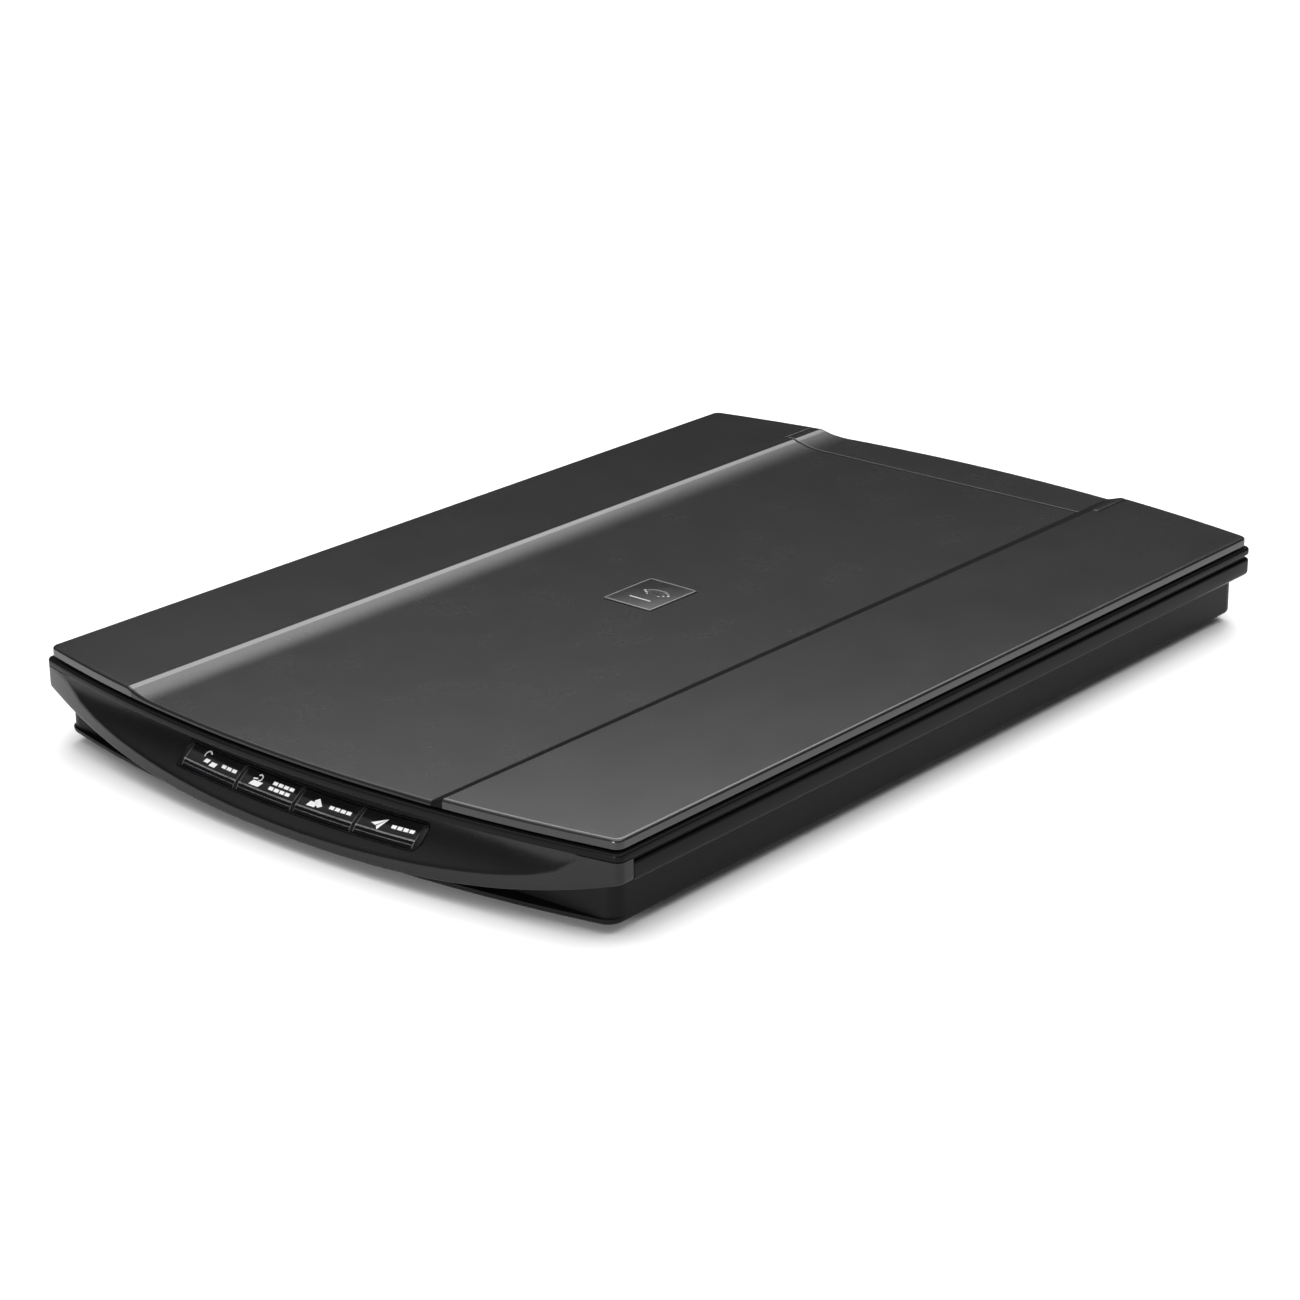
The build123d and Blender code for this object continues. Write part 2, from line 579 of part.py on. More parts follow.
TRAY_HALF_X = 111.5
TRAY_HALF_Y = 10.2
TRAY_Z = 8.3
TRAY_FLOOR_T = 1.4
TRAY_TOP = 18.0
HEAD_HALF_X = 109.6
HEAD_HALF_Y = 8.0
HEAD_Z = 13.3
HEAD_POCKET_T = 1.2        # recess in the underside for the sensor board
WINDOW_T = 0.8
LENS_LOW = 15.6
GUIDE_LOW = 17.4
BEARING_TOP = 12.0
HEAD_TOP = 22.0
BAY_Y1 = LENS_Y + 31.4
with BuildPart() as carriage_tray:
    add(slab(-TRAY_HALF_X, TRAY_HALF_X, LENS_Y - TRAY_HALF_Y, LENS_Y + TRAY_HALF_Y,
             TRAY_Z, TRAY_TOP))
    fillet(carriage_tray.edges().filter_by(Axis.Z), 1.5)
    add(slab(-HEAD_HALF_X - 0.4, HEAD_HALF_X + 0.4, LENS_Y - HEAD_HALF_Y - 0.4,
             LENS_Y + HEAD_HALF_Y + 0.4, TRAY_Z + TRAY_FLOOR_T, 30), mode=Mode.SUBTRACT)
    add(slab(-21.0, 32.5, LENS_Y + TRAY_HALF_Y - 1.5, BAY_Y1, BAY_Z, BAY_Z + BAY_T))
    add(slab(SHAFT_X - 5.5, SHAFT_X + 5.5, LENS_Y - TRAY_HALF_Y, BAY_Y1, 5.6,
             BEARING_TOP))
    with BuildSketch(Plane.XZ.offset(-200)):
        with Locations((SHAFT_X, SHAFT_Z)):
            Circle(SHAFT_R + SHAFT_PLAY)
    extrude(amount=400, mode=Mode.SUBTRACT)
    with BuildSketch(Plane.XY):
        with Locations((GEAR_X, GEAR_Y)):
            Circle(AXLE_R)
        with Locations((MOTOR_X, GEAR_Y)):
            Circle(SPINDLE_R + 0.5)
            with PolarLocations(FLANGE_SCREW_R, 2, start_angle=45):
                Circle(1.0)
    extrude(amount=30, mode=Mode.SUBTRACT)
    with BuildSketch(Plane.XZ.offset(-LENS_Y + 20)):
        with Locations((-80, 14.2), (-40, 14.2), (60, 14.2), (90, 14.2)):
            RectangleRounded(24, 4.0, 1.0)
    extrude(amount=-40, mode=Mode.SUBTRACT)
finish(carriage_tray, "carriage_tray")

LENS_SLOT = 3.0
GUIDE_Y = LENS_Y + 4.6
GUIDE_SLOT = 2.6
with BuildPart() as sensor_head:
    add(slab(-HEAD_HALF_X, HEAD_HALF_X, LENS_Y - HEAD_HALF_Y, LENS_Y + HEAD_HALF_Y,
             HEAD_Z, HEAD_TOP))
    fillet(sensor_head.edges().filter_by(Axis.Z), 1.0)
    add(slab(-107.5, 107.5, LENS_Y - 6.8, LENS_Y + 6.8, HEAD_TOP - WINDOW_T, 30),
        mode=Mode.SUBTRACT)
    add(slab(-106.5, 106.5, LENS_Y - LENS_SLOT / 2, LENS_Y + LENS_SLOT / 2, LENS_LOW, 30),
        mode=Mode.SUBTRACT)
    add(slab(-106.5, 106.5, GUIDE_Y - GUIDE_SLOT / 2, GUIDE_Y + GUIDE_SLOT / 2, GUIDE_LOW, 30),
        mode=Mode.SUBTRACT)
    add(slab(-104, 104, LENS_Y - 6.2, LENS_Y + 6.2, 0, HEAD_Z + HEAD_POCKET_T),
        mode=Mode.SUBTRACT)
finish(sensor_head, "sensor_head")

with BuildPart() as sensor_window:
    add(slab(-107.3, 107.3, LENS_Y - 6.6, LENS_Y + 6.6, HEAD_TOP - WINDOW_T,
             HEAD_TOP - 0.05))
finish(sensor_window, "sensor_window")

with BuildPart() as rod_lens_array:
    add(slab(-106.3, 106.3, LENS_Y - LENS_SLOT / 2 + 0.1, LENS_Y + LENS_SLOT / 2 - 0.1,
             LENS_LOW, HEAD_TOP - 1.4))
finish(rod_lens_array, "rod_lens_array")

with BuildPart() as light_guide:
    add(slab(-106.3, 106.3, GUIDE_Y - GUIDE_SLOT / 2 + 0.1, GUIDE_Y + GUIDE_SLOT / 2 - 0.1,
             GUIDE_LOW, HEAD_TOP - 1.4))
    chamfer(light_guide.edges().filter_by(Axis.X).sort_by(Axis.Z)[-1], 0.8)
finish(light_guide, "light_guide")

with BuildPart() as sensor_board:
    add(slab(-103.5, 103.5, LENS_Y - 6.0, LENS_Y + 6.0, HEAD_Z + 0.2,
             HEAD_Z + HEAD_POCKET_T))
finish(sensor_board, "sensor_board")

with BuildPart() as glide_pads:
    with BuildSketch(Plane.XY.offset(HEAD_TOP)):
        with Locations((0, LENS_Y)):
            with GridLocations(2 * (HEAD_HALF_X - 1.2), 9.0, 2, 2):
                RectangleRounded(1.6, 5.0, 0.5)
    extrude(amount=GLASS_UNDER - HEAD_TOP - 0.05)
finish(glide_pads, "glide_pads")

SPRING_R = 2.2
WIRE_R = 0.3
SPRING_Z0 = TRAY_Z + TRAY_FLOOR_T
SPRING_TOP = HEAD_Z
with BuildPart() as head_springs:
    for spring_x in (-106.8, 106.8):
        with BuildLine() as coil:
            Helix(pitch=0.88, height=SPRING_TOP - SPRING_Z0 - 2 * WIRE_R, radius=SPRING_R,
                  center=(spring_x, LENS_Y, SPRING_Z0 + WIRE_R))
        with BuildSketch(Plane(origin=coil.line @ 0, z_dir=coil.line % 0)):
            Circle(WIRE_R)
        sweep(path=coil.line)
finish(head_springs, "head_springs")

# ---------------------------------------------------------------- electronics

with BuildPart() as main_board:
    add(slab(BOARD_X0, BOARD_X1, BOARD_Y0, BOARD_Y1, BOARD_Z, BOARD_Z + BOARD_T))
    with BuildSketch(Plane.XY.offset(BOARD_Z - 1)):
        with Locations(*BOARD_SCREW_SPOTS):
            Circle(1.3)
    extrude(amount=4, mode=Mode.SUBTRACT)
finish(main_board, "main_board")

BOARD_TOP = BOARD_Z + BOARD_T
with BuildPart() as board_screws:
    with BuildSketch(Plane.XY.offset(BOARD_TOP)):
        with Locations(*BOARD_SCREW_SPOTS):
            Circle(2.2)
    extrude(amount=1.4)
    with BuildSketch(Plane.XY.offset(BOARD_Z)):
        with Locations(*BOARD_SCREW_SPOTS):
            Circle(1.2)
    extrude(amount=BOARD_T)
finish(board_screws, "board_screws")

with BuildPart() as board_chips:
    add(slab(78.5, 88.5, 154, 164, BOARD_TOP, BOARD_TOP + 1.4))
    add(slab(91, 97, 157, 161, BOARD_TOP, BOARD_TOP + 1.0))
    add(slab(91.5, 95.5, 163, 169, BOARD_TOP, BOARD_TOP + 2.6))
    add(slab(61, 65, 164, 167, BOARD_TOP, BOARD_TOP + 1.2))
finish(board_chips, "board_chips")

USB_DEPTH = 9.2
USB_Y1 = 177.2
with BuildPart() as usb_socket:
    with BuildSketch(Plane.XZ.offset(-USB_Y1)):
        with Locations((USB_X, USB_Z)):
            RectangleRounded(USB_SHELL_W, USB_SHELL_H, 0.6)
    extrude(amount=USB_DEPTH)
    with BuildSketch(Plane.XZ.offset(-USB_Y1)):
        with Locations((USB_X, USB_Z)):
            RectangleRounded(USB_SHELL_W - 0.8, USB_SHELL_H - 0.8, 0.4)
    extrude(amount=USB_DEPTH - 1.2, mode=Mode.SUBTRACT)
    add(slab(USB_X - 2.2, USB_X + 2.2, USB_Y1 - USB_DEPTH + 0.6, USB_Y1 - 1.5,
             USB_Z + 0.1, USB_Z + 0.8))
    add(slab(USB_X - 3.0, USB_X + 3.0, USB_Y1 - USB_DEPTH + 0.5, BOARD_Y1, BOARD_TOP,
             USB_Z - 1.95))
finish(usb_socket, "usb_socket")

FLEX_X = 70.0
FLEX_W = 7.0
with BuildPart() as flex_connector:
    add(slab(FLEX_X - 5, FLEX_X + 5, BOARD_Y0 + 8.6, BOARD_Y0 + 11.6, BOARD_TOP, BOARD_TOP + 1.6))
finish(flex_connector, "flex_connector")

FLEX_T = 0.2
FLEX_LOW = FLOOR_TOP + 0.05
LOOP_Y = LENS_Y - 4.0
ANCHOR_Z = TRAY_Z - 0.35
with BuildPart() as flex_cable:
    add(slab(FLEX_X - FLEX_W / 2, FLEX_X + FLEX_W / 2, LOOP_Y, BOARD_Y0 - 1.6,
             FLEX_LOW, FLEX_LOW + FLEX_T))
    add(slab(FLEX_X - FLEX_W / 2, FLEX_X + FLEX_W / 2, LOOP_Y - FLEX_T, LOOP_Y,
             FLEX_LOW, ANCHOR_Z + FLEX_T))
    add(slab(FLEX_X - FLEX_W / 2, FLEX_X + FLEX_W / 2, LOOP_Y, LENS_Y + 6.0,
             ANCHOR_Z, ANCHOR_Z + FLEX_T))
    add(slab(FLEX_X - FLEX_W / 2, FLEX_X + FLEX_W / 2, BOARD_Y0 - 1.6, BOARD_Y0 - 1.4,
             FLEX_LOW, BOARD_TOP + 1.0))
    add(slab(FLEX_X - FLEX_W / 2, FLEX_X + FLEX_W / 2, BOARD_Y0 - 1.4, BOARD_Y0 + 8.6,
             BOARD_TOP + 0.8, BOARD_TOP + 1.0))
finish(flex_cable, "flex_cable")

LOCK_HOME_Y = LOCK_Y - LOCK_TRAVEL / 2
LOCK_PLATE_Z = FLOOR_TOP + 0.05
with BuildPart() as lock_switch:
    add(slab(LOCK_X - 5, LOCK_X + 5, LOCK_HOME_Y - 5.5, LOCK_HOME_Y + 5.5,
             LOCK_PLATE_Z, LOCK_PLATE_Z + 1.35))
    with BuildSketch(Plane.XY.offset(FOOT_H - 0.8)):
        with Locations((LOCK_X, LOCK_HOME_Y)):
            Circle(LOCK_PAD_R)
    extrude(amount=LOCK_WELL_TOP - 0.1 - FOOT_H + 0.8)
    with BuildSketch(Plane.XY.offset(LOCK_WELL_TOP - 0.5)):
        with Locations((LOCK_X, LOCK_HOME_Y)):
            Rectangle(LOCK_STEM_W, LOCK_STEM_L)
    extrude(amount=LOCK_PLATE_Z - LOCK_WELL_TOP + 0.5)
    with BuildSketch(Plane.XY.offset(FOOT_H - 0.8)):
        with Locations((LOCK_X, LOCK_HOME_Y)):
            with GridLocations(1.2, 0, 3, 1):
                Rectangle(0.5, 4.4)
    extrude(amount=0.4, mode=Mode.SUBTRACT)
finish(lock_switch, "lock_switch")

# ---------------------------------------------------------------- lid

def step_section():
    """Section, across the scanner, of what is missing above the middle zone."""
    with BuildSketch(Plane.XZ) as section:
        with BuildLine():
            Line((LEFT_CREST_X, ABOVE_Z), (LEFT_CREST_X, LID_TOP_Z))
            TangentArc((LEFT_FOOT_X, LID_MID_Z), (LEFT_CREST_X, LID_TOP_Z), tangent=(-1, 0))
            Polyline((LEFT_FOOT_X, LID_MID_Z), (RIGHT_FOOT_X, LID_MID_Z),
                     (RIGHT_CREST_X, LID_TOP_Z), (RIGHT_CREST_X, ABOVE_Z), (LEFT_CREST_X, ABOVE_Z))
        make_face()
    return section.sketch


def lid_blank(low_z):
    """Outer form shared by the lid and the hinge cover, down to low_z."""
    with BuildPart() as blank:
        extrude(lid_plan(low_z), amount=LID_TOP_Z - low_z)
        chamfer(blank.faces().sort_by(Axis.Z)[-1].edges(), LID_BEVEL)
        extrude(step_section(), amount=200, both=True, mode=Mode.SUBTRACT)
    return blank.part


def pin_bar(x0, x1, radius):
    """Round bar on the hinge axis."""
    with BuildPart() as bar:
        with BuildSketch(Plane.YZ.offset(x0)):
            with Locations((PIVOT_Y, PIVOT_Z)):
                Circle(radius)
        extrude(amount=x1 - x0)
    return bar.part


PIN_IN_LID = 5.0
PIN_IN_COVER = 4.0
LID_WALL = 1.3
RIB_GRID_Y = 108.0
with BuildPart() as lid_cover:
    add(lid_blank(LID_EDGE_Z))
    add(slab(COVER_X0 - COVER_GAP, COVER_X1 + COVER_GAP, CUTOUT_Y, 200, 20, 40),
        mode=Mode.SUBTRACT)
    with BuildSketch(Plane.XY.offset(LID_EDGE_Z)):
        with Locations((-100.2, 0), (94.4, 0)):
            with GridLocations(0, RIB_GRID_Y, 1, 3):
                RectangleRounded(40, RIB_GRID_Y - 3, 2)
    extrude(amount=LID_TOP_Z - LID_EDGE_Z - LID_WALL, mode=Mode.SUBTRACT)
    add(pin_bar(COVER_X0 - PIN_IN_LID - 0.6, COVER_X0, PIN_R + PIN_PLAY), mode=Mode.SUBTRACT)
    add(pin_bar(COVER_X1, COVER_X1 + PIN_IN_LID + 0.6, PIN_R + PIN_PLAY), mode=Mode.SUBTRACT)
finish(lid_cover, "lid_cover")

PANEL_T = 1.1
PANEL_SCREW_SPOTS = ((-114.0, 155.0), (114.0, 155.0), (-114.0, -158.0), (114.0, -158.0))
PANEL_Z = LID_EDGE_Z - 0.1 - PANEL_T
with BuildPart() as lid_inner_panel:
    extrude(case_plan(PANEL_Z, RIM_WIDTH + 2.5), amount=PANEL_T)
    add(slab(-130, 130, 160.2, 200, 20, 40), mode=Mode.SUBTRACT)
    with BuildSketch(Plane.XY.offset(PANEL_Z - 1)):
        with Locations(*PANEL_SCREW_SPOTS):
            Circle(1.15)
    extrude(amount=4, mode=Mode.SUBTRACT)
finish(lid_inner_panel, "lid_inner_panel")

PAD_INSET = 1.8
SHEET_T = 0.6
SHEET_Z = GLASS_TOP + 0.1
with BuildPart() as white_sheet:
    with BuildSketch(Plane.XY.offset(SHEET_Z)):
        with Locations((0, OPEN_MID_Y)):
            RectangleRounded(2 * (OPEN_HALF_X - PAD_INSET), OPEN_LENGTH - 2 * PAD_INSET, 1.5)
    extrude(amount=SHEET_T)
finish(white_sheet, "white_sheet")

with BuildPart() as foam_pad:
    with BuildSketch(Plane.XY.offset(SHEET_Z + SHEET_T)):
        with Locations((0, OPEN_MID_Y)):
            RectangleRounded(2 * (OPEN_HALF_X - PAD_INSET), OPEN_LENGTH - 2 * PAD_INSET, 1.5)
    extrude(amount=PANEL_Z - SHEET_Z - SHEET_T)
finish(foam_pad, "foam_pad")

BUMPER_SPOTS = ((-113.0, -152.0), (113.0, -152.0), (-113.0, 146.0), (113.0, 146.0))
with BuildPart() as lid_bumpers:
    with BuildSketch(Plane.XY.offset(DECK_Z + 0.05)):
        with Locations(*BUMPER_SPOTS):
            Circle(2.6)
    extrude(amount=PANEL_Z - DECK_Z - 0.05)
finish(lid_bumpers, "lid_bumpers")

with BuildPart() as panel_screws:
    with BuildSketch(Plane.XY.offset(PANEL_Z)):
        with Locations(*PANEL_SCREW_SPOTS):
            Circle(1.1)
    extrude(amount=PANEL_T + 0.1)
finish(panel_screws, "panel_screws")

BADGE_X, BADGE_Y = -6.2, -6.4
BADGE_W, BADGE_L = 21.4, 25.4
BADGE_T = 0.3
with BuildPart() as lid_badge:
    with BuildSketch(Plane.XY.offset(LID_MID_Z)):
        with Locations((BADGE_X, BADGE_Y)):
            RectangleRounded(BADGE_W, BADGE_L, 0.6)
    extrude(amount=BADGE_T)
finish(lid_badge, "lid_badge")

# ---------------------------------------------------------------- hinge unit

PLATE_UNDER = LID_EDGE_Z
SKIRT_Z = DECK_Z + 0.3
SKIRT_T = 1.6
with BuildPart() as hinge_cover:
    add(lid_blank(SKIRT_Z))
    add(slab(COVER_X0, COVER_X1, CUTOUT_Y + COVER_GAP, 200, 20, 40), mode=Mode.INTERSECT)
    extrude(lid_plan(SKIRT_Z, SKIRT_T, 2), amount=PLATE_UNDER - SKIRT_Z - 0.2,
            mode=Mode.SUBTRACT)
    with BuildSketch(Plane.XY.offset(SKIRT_Z)):
        with Locations(*[(x, LEG_Y) for x in LEG_X]):
            Rectangle(LEG_W + 6, LEG_T + 5)
    extrude(amount=PLATE_UNDER - SKIRT_Z)
    with BuildSketch(Plane.XY.offset(SKIRT_Z - 1)):
        with Locations(*[(x, LEG_Y) for x in LEG_X]):
            Rectangle(LEG_W, LEG_T)
    extrude(amount=PLATE_UNDER - SKIRT_Z + 1, mode=Mode.SUBTRACT)
    add(pin_bar(COVER_X0, COVER_X0 + PIN_IN_COVER, PIN_R), mode=Mode.SUBTRACT)
    add(pin_bar(COVER_X1 - PIN_IN_COVER + 1.0, COVER_X1, PIN_R), mode=Mode.SUBTRACT)
finish(hinge_cover, "hinge_cover")

LEG_FOOT_Z = FLOOR_TOP + 0.6
for side, leg_x in zip(("left", "right"), LEG_X):
    with BuildPart() as leg:
        with BuildSketch(Plane.XY.offset(LEG_FOOT_Z)):
            with Locations((leg_x, LEG_Y)):
                Rectangle(LEG_W, LEG_T)
        extrude(amount=PLATE_UNDER - LEG_FOOT_Z)
        chamfer(leg.edges().group_by(Axis.Z)[0], 0.6)
    finish(leg, f"hinge_leg_{side}")

with BuildPart() as hinge_pins:
    add(pin_bar(COVER_X0 - PIN_IN_LID, COVER_X0 + PIN_IN_COVER, PIN_R))
    add(pin_bar(COVER_X1 - PIN_IN_COVER + 1.0, COVER_X1 + PIN_IN_LID, PIN_R))
finish(hinge_pins, "hinge_pins")
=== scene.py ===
import json
from math import atan2, cos, hypot, pi, radians, sin, sqrt

import bmesh
import bpy
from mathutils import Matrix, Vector


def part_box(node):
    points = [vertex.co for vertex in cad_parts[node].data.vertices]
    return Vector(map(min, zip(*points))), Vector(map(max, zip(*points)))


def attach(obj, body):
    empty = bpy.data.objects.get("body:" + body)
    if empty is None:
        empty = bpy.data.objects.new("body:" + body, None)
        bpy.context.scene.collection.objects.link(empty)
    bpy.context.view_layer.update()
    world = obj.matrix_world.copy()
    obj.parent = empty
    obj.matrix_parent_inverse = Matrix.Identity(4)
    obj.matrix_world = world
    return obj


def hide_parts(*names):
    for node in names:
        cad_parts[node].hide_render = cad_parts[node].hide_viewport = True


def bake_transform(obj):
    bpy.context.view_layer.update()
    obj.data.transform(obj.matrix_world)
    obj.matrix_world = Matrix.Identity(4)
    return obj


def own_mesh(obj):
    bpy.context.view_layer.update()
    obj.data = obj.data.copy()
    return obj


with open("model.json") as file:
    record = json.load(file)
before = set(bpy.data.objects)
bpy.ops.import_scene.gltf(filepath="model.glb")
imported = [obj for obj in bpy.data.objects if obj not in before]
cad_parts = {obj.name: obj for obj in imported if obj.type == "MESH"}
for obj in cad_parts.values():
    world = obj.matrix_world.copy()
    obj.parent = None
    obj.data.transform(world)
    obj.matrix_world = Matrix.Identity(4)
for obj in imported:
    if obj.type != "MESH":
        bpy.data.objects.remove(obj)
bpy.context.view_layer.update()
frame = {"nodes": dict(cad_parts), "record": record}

MM = 0.001
NODES = frame["nodes"]


# ------------------------------------------------------------------ materials

class Shader:
    """A node material that is built up step by step."""

    def __init__(self, name, colour, roughness, **sockets):
        self.material = bpy.data.materials.new(name)
        self.material.use_nodes = True
        self.nodes = self.material.node_tree.nodes
        self.links = self.material.node_tree.links
        self.bsdf = self.nodes["Principled BSDF"]
        self.bsdf.inputs["Base Color"].default_value = (*colour, 1.0)
        self.bsdf.inputs["Roughness"].default_value = roughness
        for key, value in sockets.items():
            self.bsdf.inputs[key.replace("_", " ")].default_value = value
        self.place = self.nodes.new("ShaderNodeTexCoord").outputs["Object"]
        self.normal = None

    def stretched(self, scale):
        """Object coordinates scaled apart along the axes."""
        mapping = self.nodes.new("ShaderNodeMapping")
        mapping.inputs["Scale"].default_value = scale
        self.links.new(self.place, mapping.inputs["Vector"])
        return mapping.outputs["Vector"]

    def noise(self, scale, detail=3.0, stretch=None):
        node = self.nodes.new("ShaderNodeTexNoise")
        node.inputs["Scale"].default_value = scale
        node.inputs["Detail"].default_value = detail
        self.links.new(self.stretched(stretch) if stretch else self.place, node.inputs["Vector"])
        return node.outputs["Fac"]

    def cells(self, scale):
        node = self.nodes.new("ShaderNodeTexVoronoi")
        node.inputs["Scale"].default_value = scale
        self.links.new(self.place, node.inputs["Vector"])
        return node.outputs["Distance"]

    def span(self, value, low=0.3, high=0.7, new_low=0.0, new_high=1.0):
        node = self.nodes.new("ShaderNodeMapRange")
        for key, number in zip(("From Min", "From Max", "To Min", "To Max"),
                               (low, high, new_low, new_high)):
            node.inputs[key].default_value = number
        self.links.new(value, node.inputs["Value"])
        return node.outputs["Result"]

    def tint(self, value, dark, light):
        """Base colour that drifts between two tones."""
        node = self.nodes.new("ShaderNodeMix")
        node.data_type = "RGBA"
        node.inputs["A"].default_value = (*dark, 1.0)
        node.inputs["B"].default_value = (*light, 1.0)
        self.links.new(value, node.inputs["Factor"])
        self.links.new(node.outputs["Result"], self.bsdf.inputs["Base Color"])
        return self

    def rough(self, value):
        self.links.new(value, self.bsdf.inputs["Roughness"])
        return self

    def bump(self, height, strength, distance):
        node = self.nodes.new("ShaderNodeBump")
        node.inputs["Strength"].default_value = strength
        node.inputs["Distance"].default_value = distance
        self.links.new(height, node.inputs["Height"])
        if self.normal:
            self.links.new(self.normal, node.inputs["Normal"])
        self.normal = node.outputs["Normal"]
        self.links.new(self.normal, self.bsdf.inputs["Normal"])
        return self


def moulded(name, tone, roughness, grain=2600.0, depth=0.00003, strength=0.25, haze=0.02,
            **sockets):
    """Moulded plastic: spark-eroded grain, slow tone drift and handling haze."""
    s = Shader(name, tone, roughness, **sockets)
    light = tuple(c * 1.18 + 0.001 for c in tone)
    s.tint(s.span(s.noise(14.0, 4.0)), tone, light)
    s.rough(s.span(s.noise(55.0, 5.0), 0.25, 0.75, roughness - haze, roughness + haze))
    s.bump(s.noise(grain, 2.0), strength, depth)
    return s.material


def polished(name, tone, roughness, **sockets):
    """Glossy moulding with faint ripple and rubbed haze."""
    s = Shader(name, tone, roughness, **sockets)
    light = tuple(c * 1.3 + 0.001 for c in tone)
    s.tint(s.span(s.noise(30.0, 3.0)), tone, light)
    s.rough(s.span(s.noise(240.0, 6.0), 0.3, 0.75, roughness, roughness + 0.06))
    s.bump(s.noise(160.0, 1.0), 0.08, 0.00004)
    return s.material


def metal(name, tone, roughness, along=(1.0, 1.0, 1.0), **sockets):
    """Bare metal with drawn or rolled streaks along one axis."""
    s = Shader(name, tone, roughness, Metallic=1.0, **sockets)
    dark = tuple(c * 0.82 for c in tone)
    s.tint(s.span(s.noise(60.0, 4.0, along)), dark, tone)
    s.rough(s.span(s.noise(300.0, 4.0, along), 0.3, 0.7, roughness - 0.06, roughness + 0.08))
    s.bump(s.noise(1500.0, 2.0, along), 0.12, 0.00002)
    return s.material


def rubber(name, tone):
    s = Shader(name, tone, 0.78)
    s.tint(s.span(s.noise(120.0, 4.0)), tone, tuple(c * 1.5 for c in tone))
    s.rough(s.span(s.noise(400.0, 3.0), 0.3, 0.7, 0.7, 0.86))
    s.bump(s.cells(1800.0), 0.3, 0.00005)
    return s.material


def clear(name, tone, roughness, thin=0.35):
    """Glass or clear acrylic, kept see-through by alpha so that it needs no refraction."""
    s = Shader(name, tone, roughness, Alpha=thin, IOR=1.52)
    s.rough(s.span(s.noise(90.0, 4.0), 0.3, 0.7, roughness, roughness + 0.02))
    s.tint(s.span(s.noise(8.0, 2.0)), tuple(c * 0.97 for c in tone), tone)
    s.bump(s.noise(20.0, 1.0), 0.02, 0.00002)
    return s.material


def circuit(name, mask, copper):
    """Solder mask with tracks showing through it."""
    s = Shader(name, mask, 0.35)
    brick = s.nodes.new("ShaderNodeTexBrick")
    brick.inputs["Scale"].default_value = 420.0
    brick.inputs["Mortar Size"].default_value = 0.03
    brick.inputs["Color1"].default_value = (0.0, 0.0, 0.0, 1.0)
    brick.inputs["Color2"].default_value = (0.15, 0.15, 0.15, 1.0)
    brick.inputs["Mortar"].default_value = (1.0, 1.0, 1.0, 1.0)
    s.links.new(s.place, brick.inputs["Vector"])
    s.tint(brick.outputs["Color"], mask, copper)
    s.rough(s.span(s.noise(200.0, 3.0), 0.3, 0.7, 0.28, 0.42))
    s.bump(brick.outputs["Color"], 0.3, 0.00003)
    return s.material


def foam(name, tone):
    # The darker tone at each cell's middle, where the bump sinks a pore, is painted shade in the
    # pores.
    s = Shader(name, tone, 0.95)
    s.tint(s.span(s.cells(900.0), 0.0, 0.6, 0.0, 1.0), tuple(c * 0.6 for c in tone), tone)
    s.rough(s.span(s.noise(300.0, 3.0), 0.3, 0.7, 0.88, 1.0))
    s.bump(s.cells(900.0), 0.8, 0.0003)
    return s.material


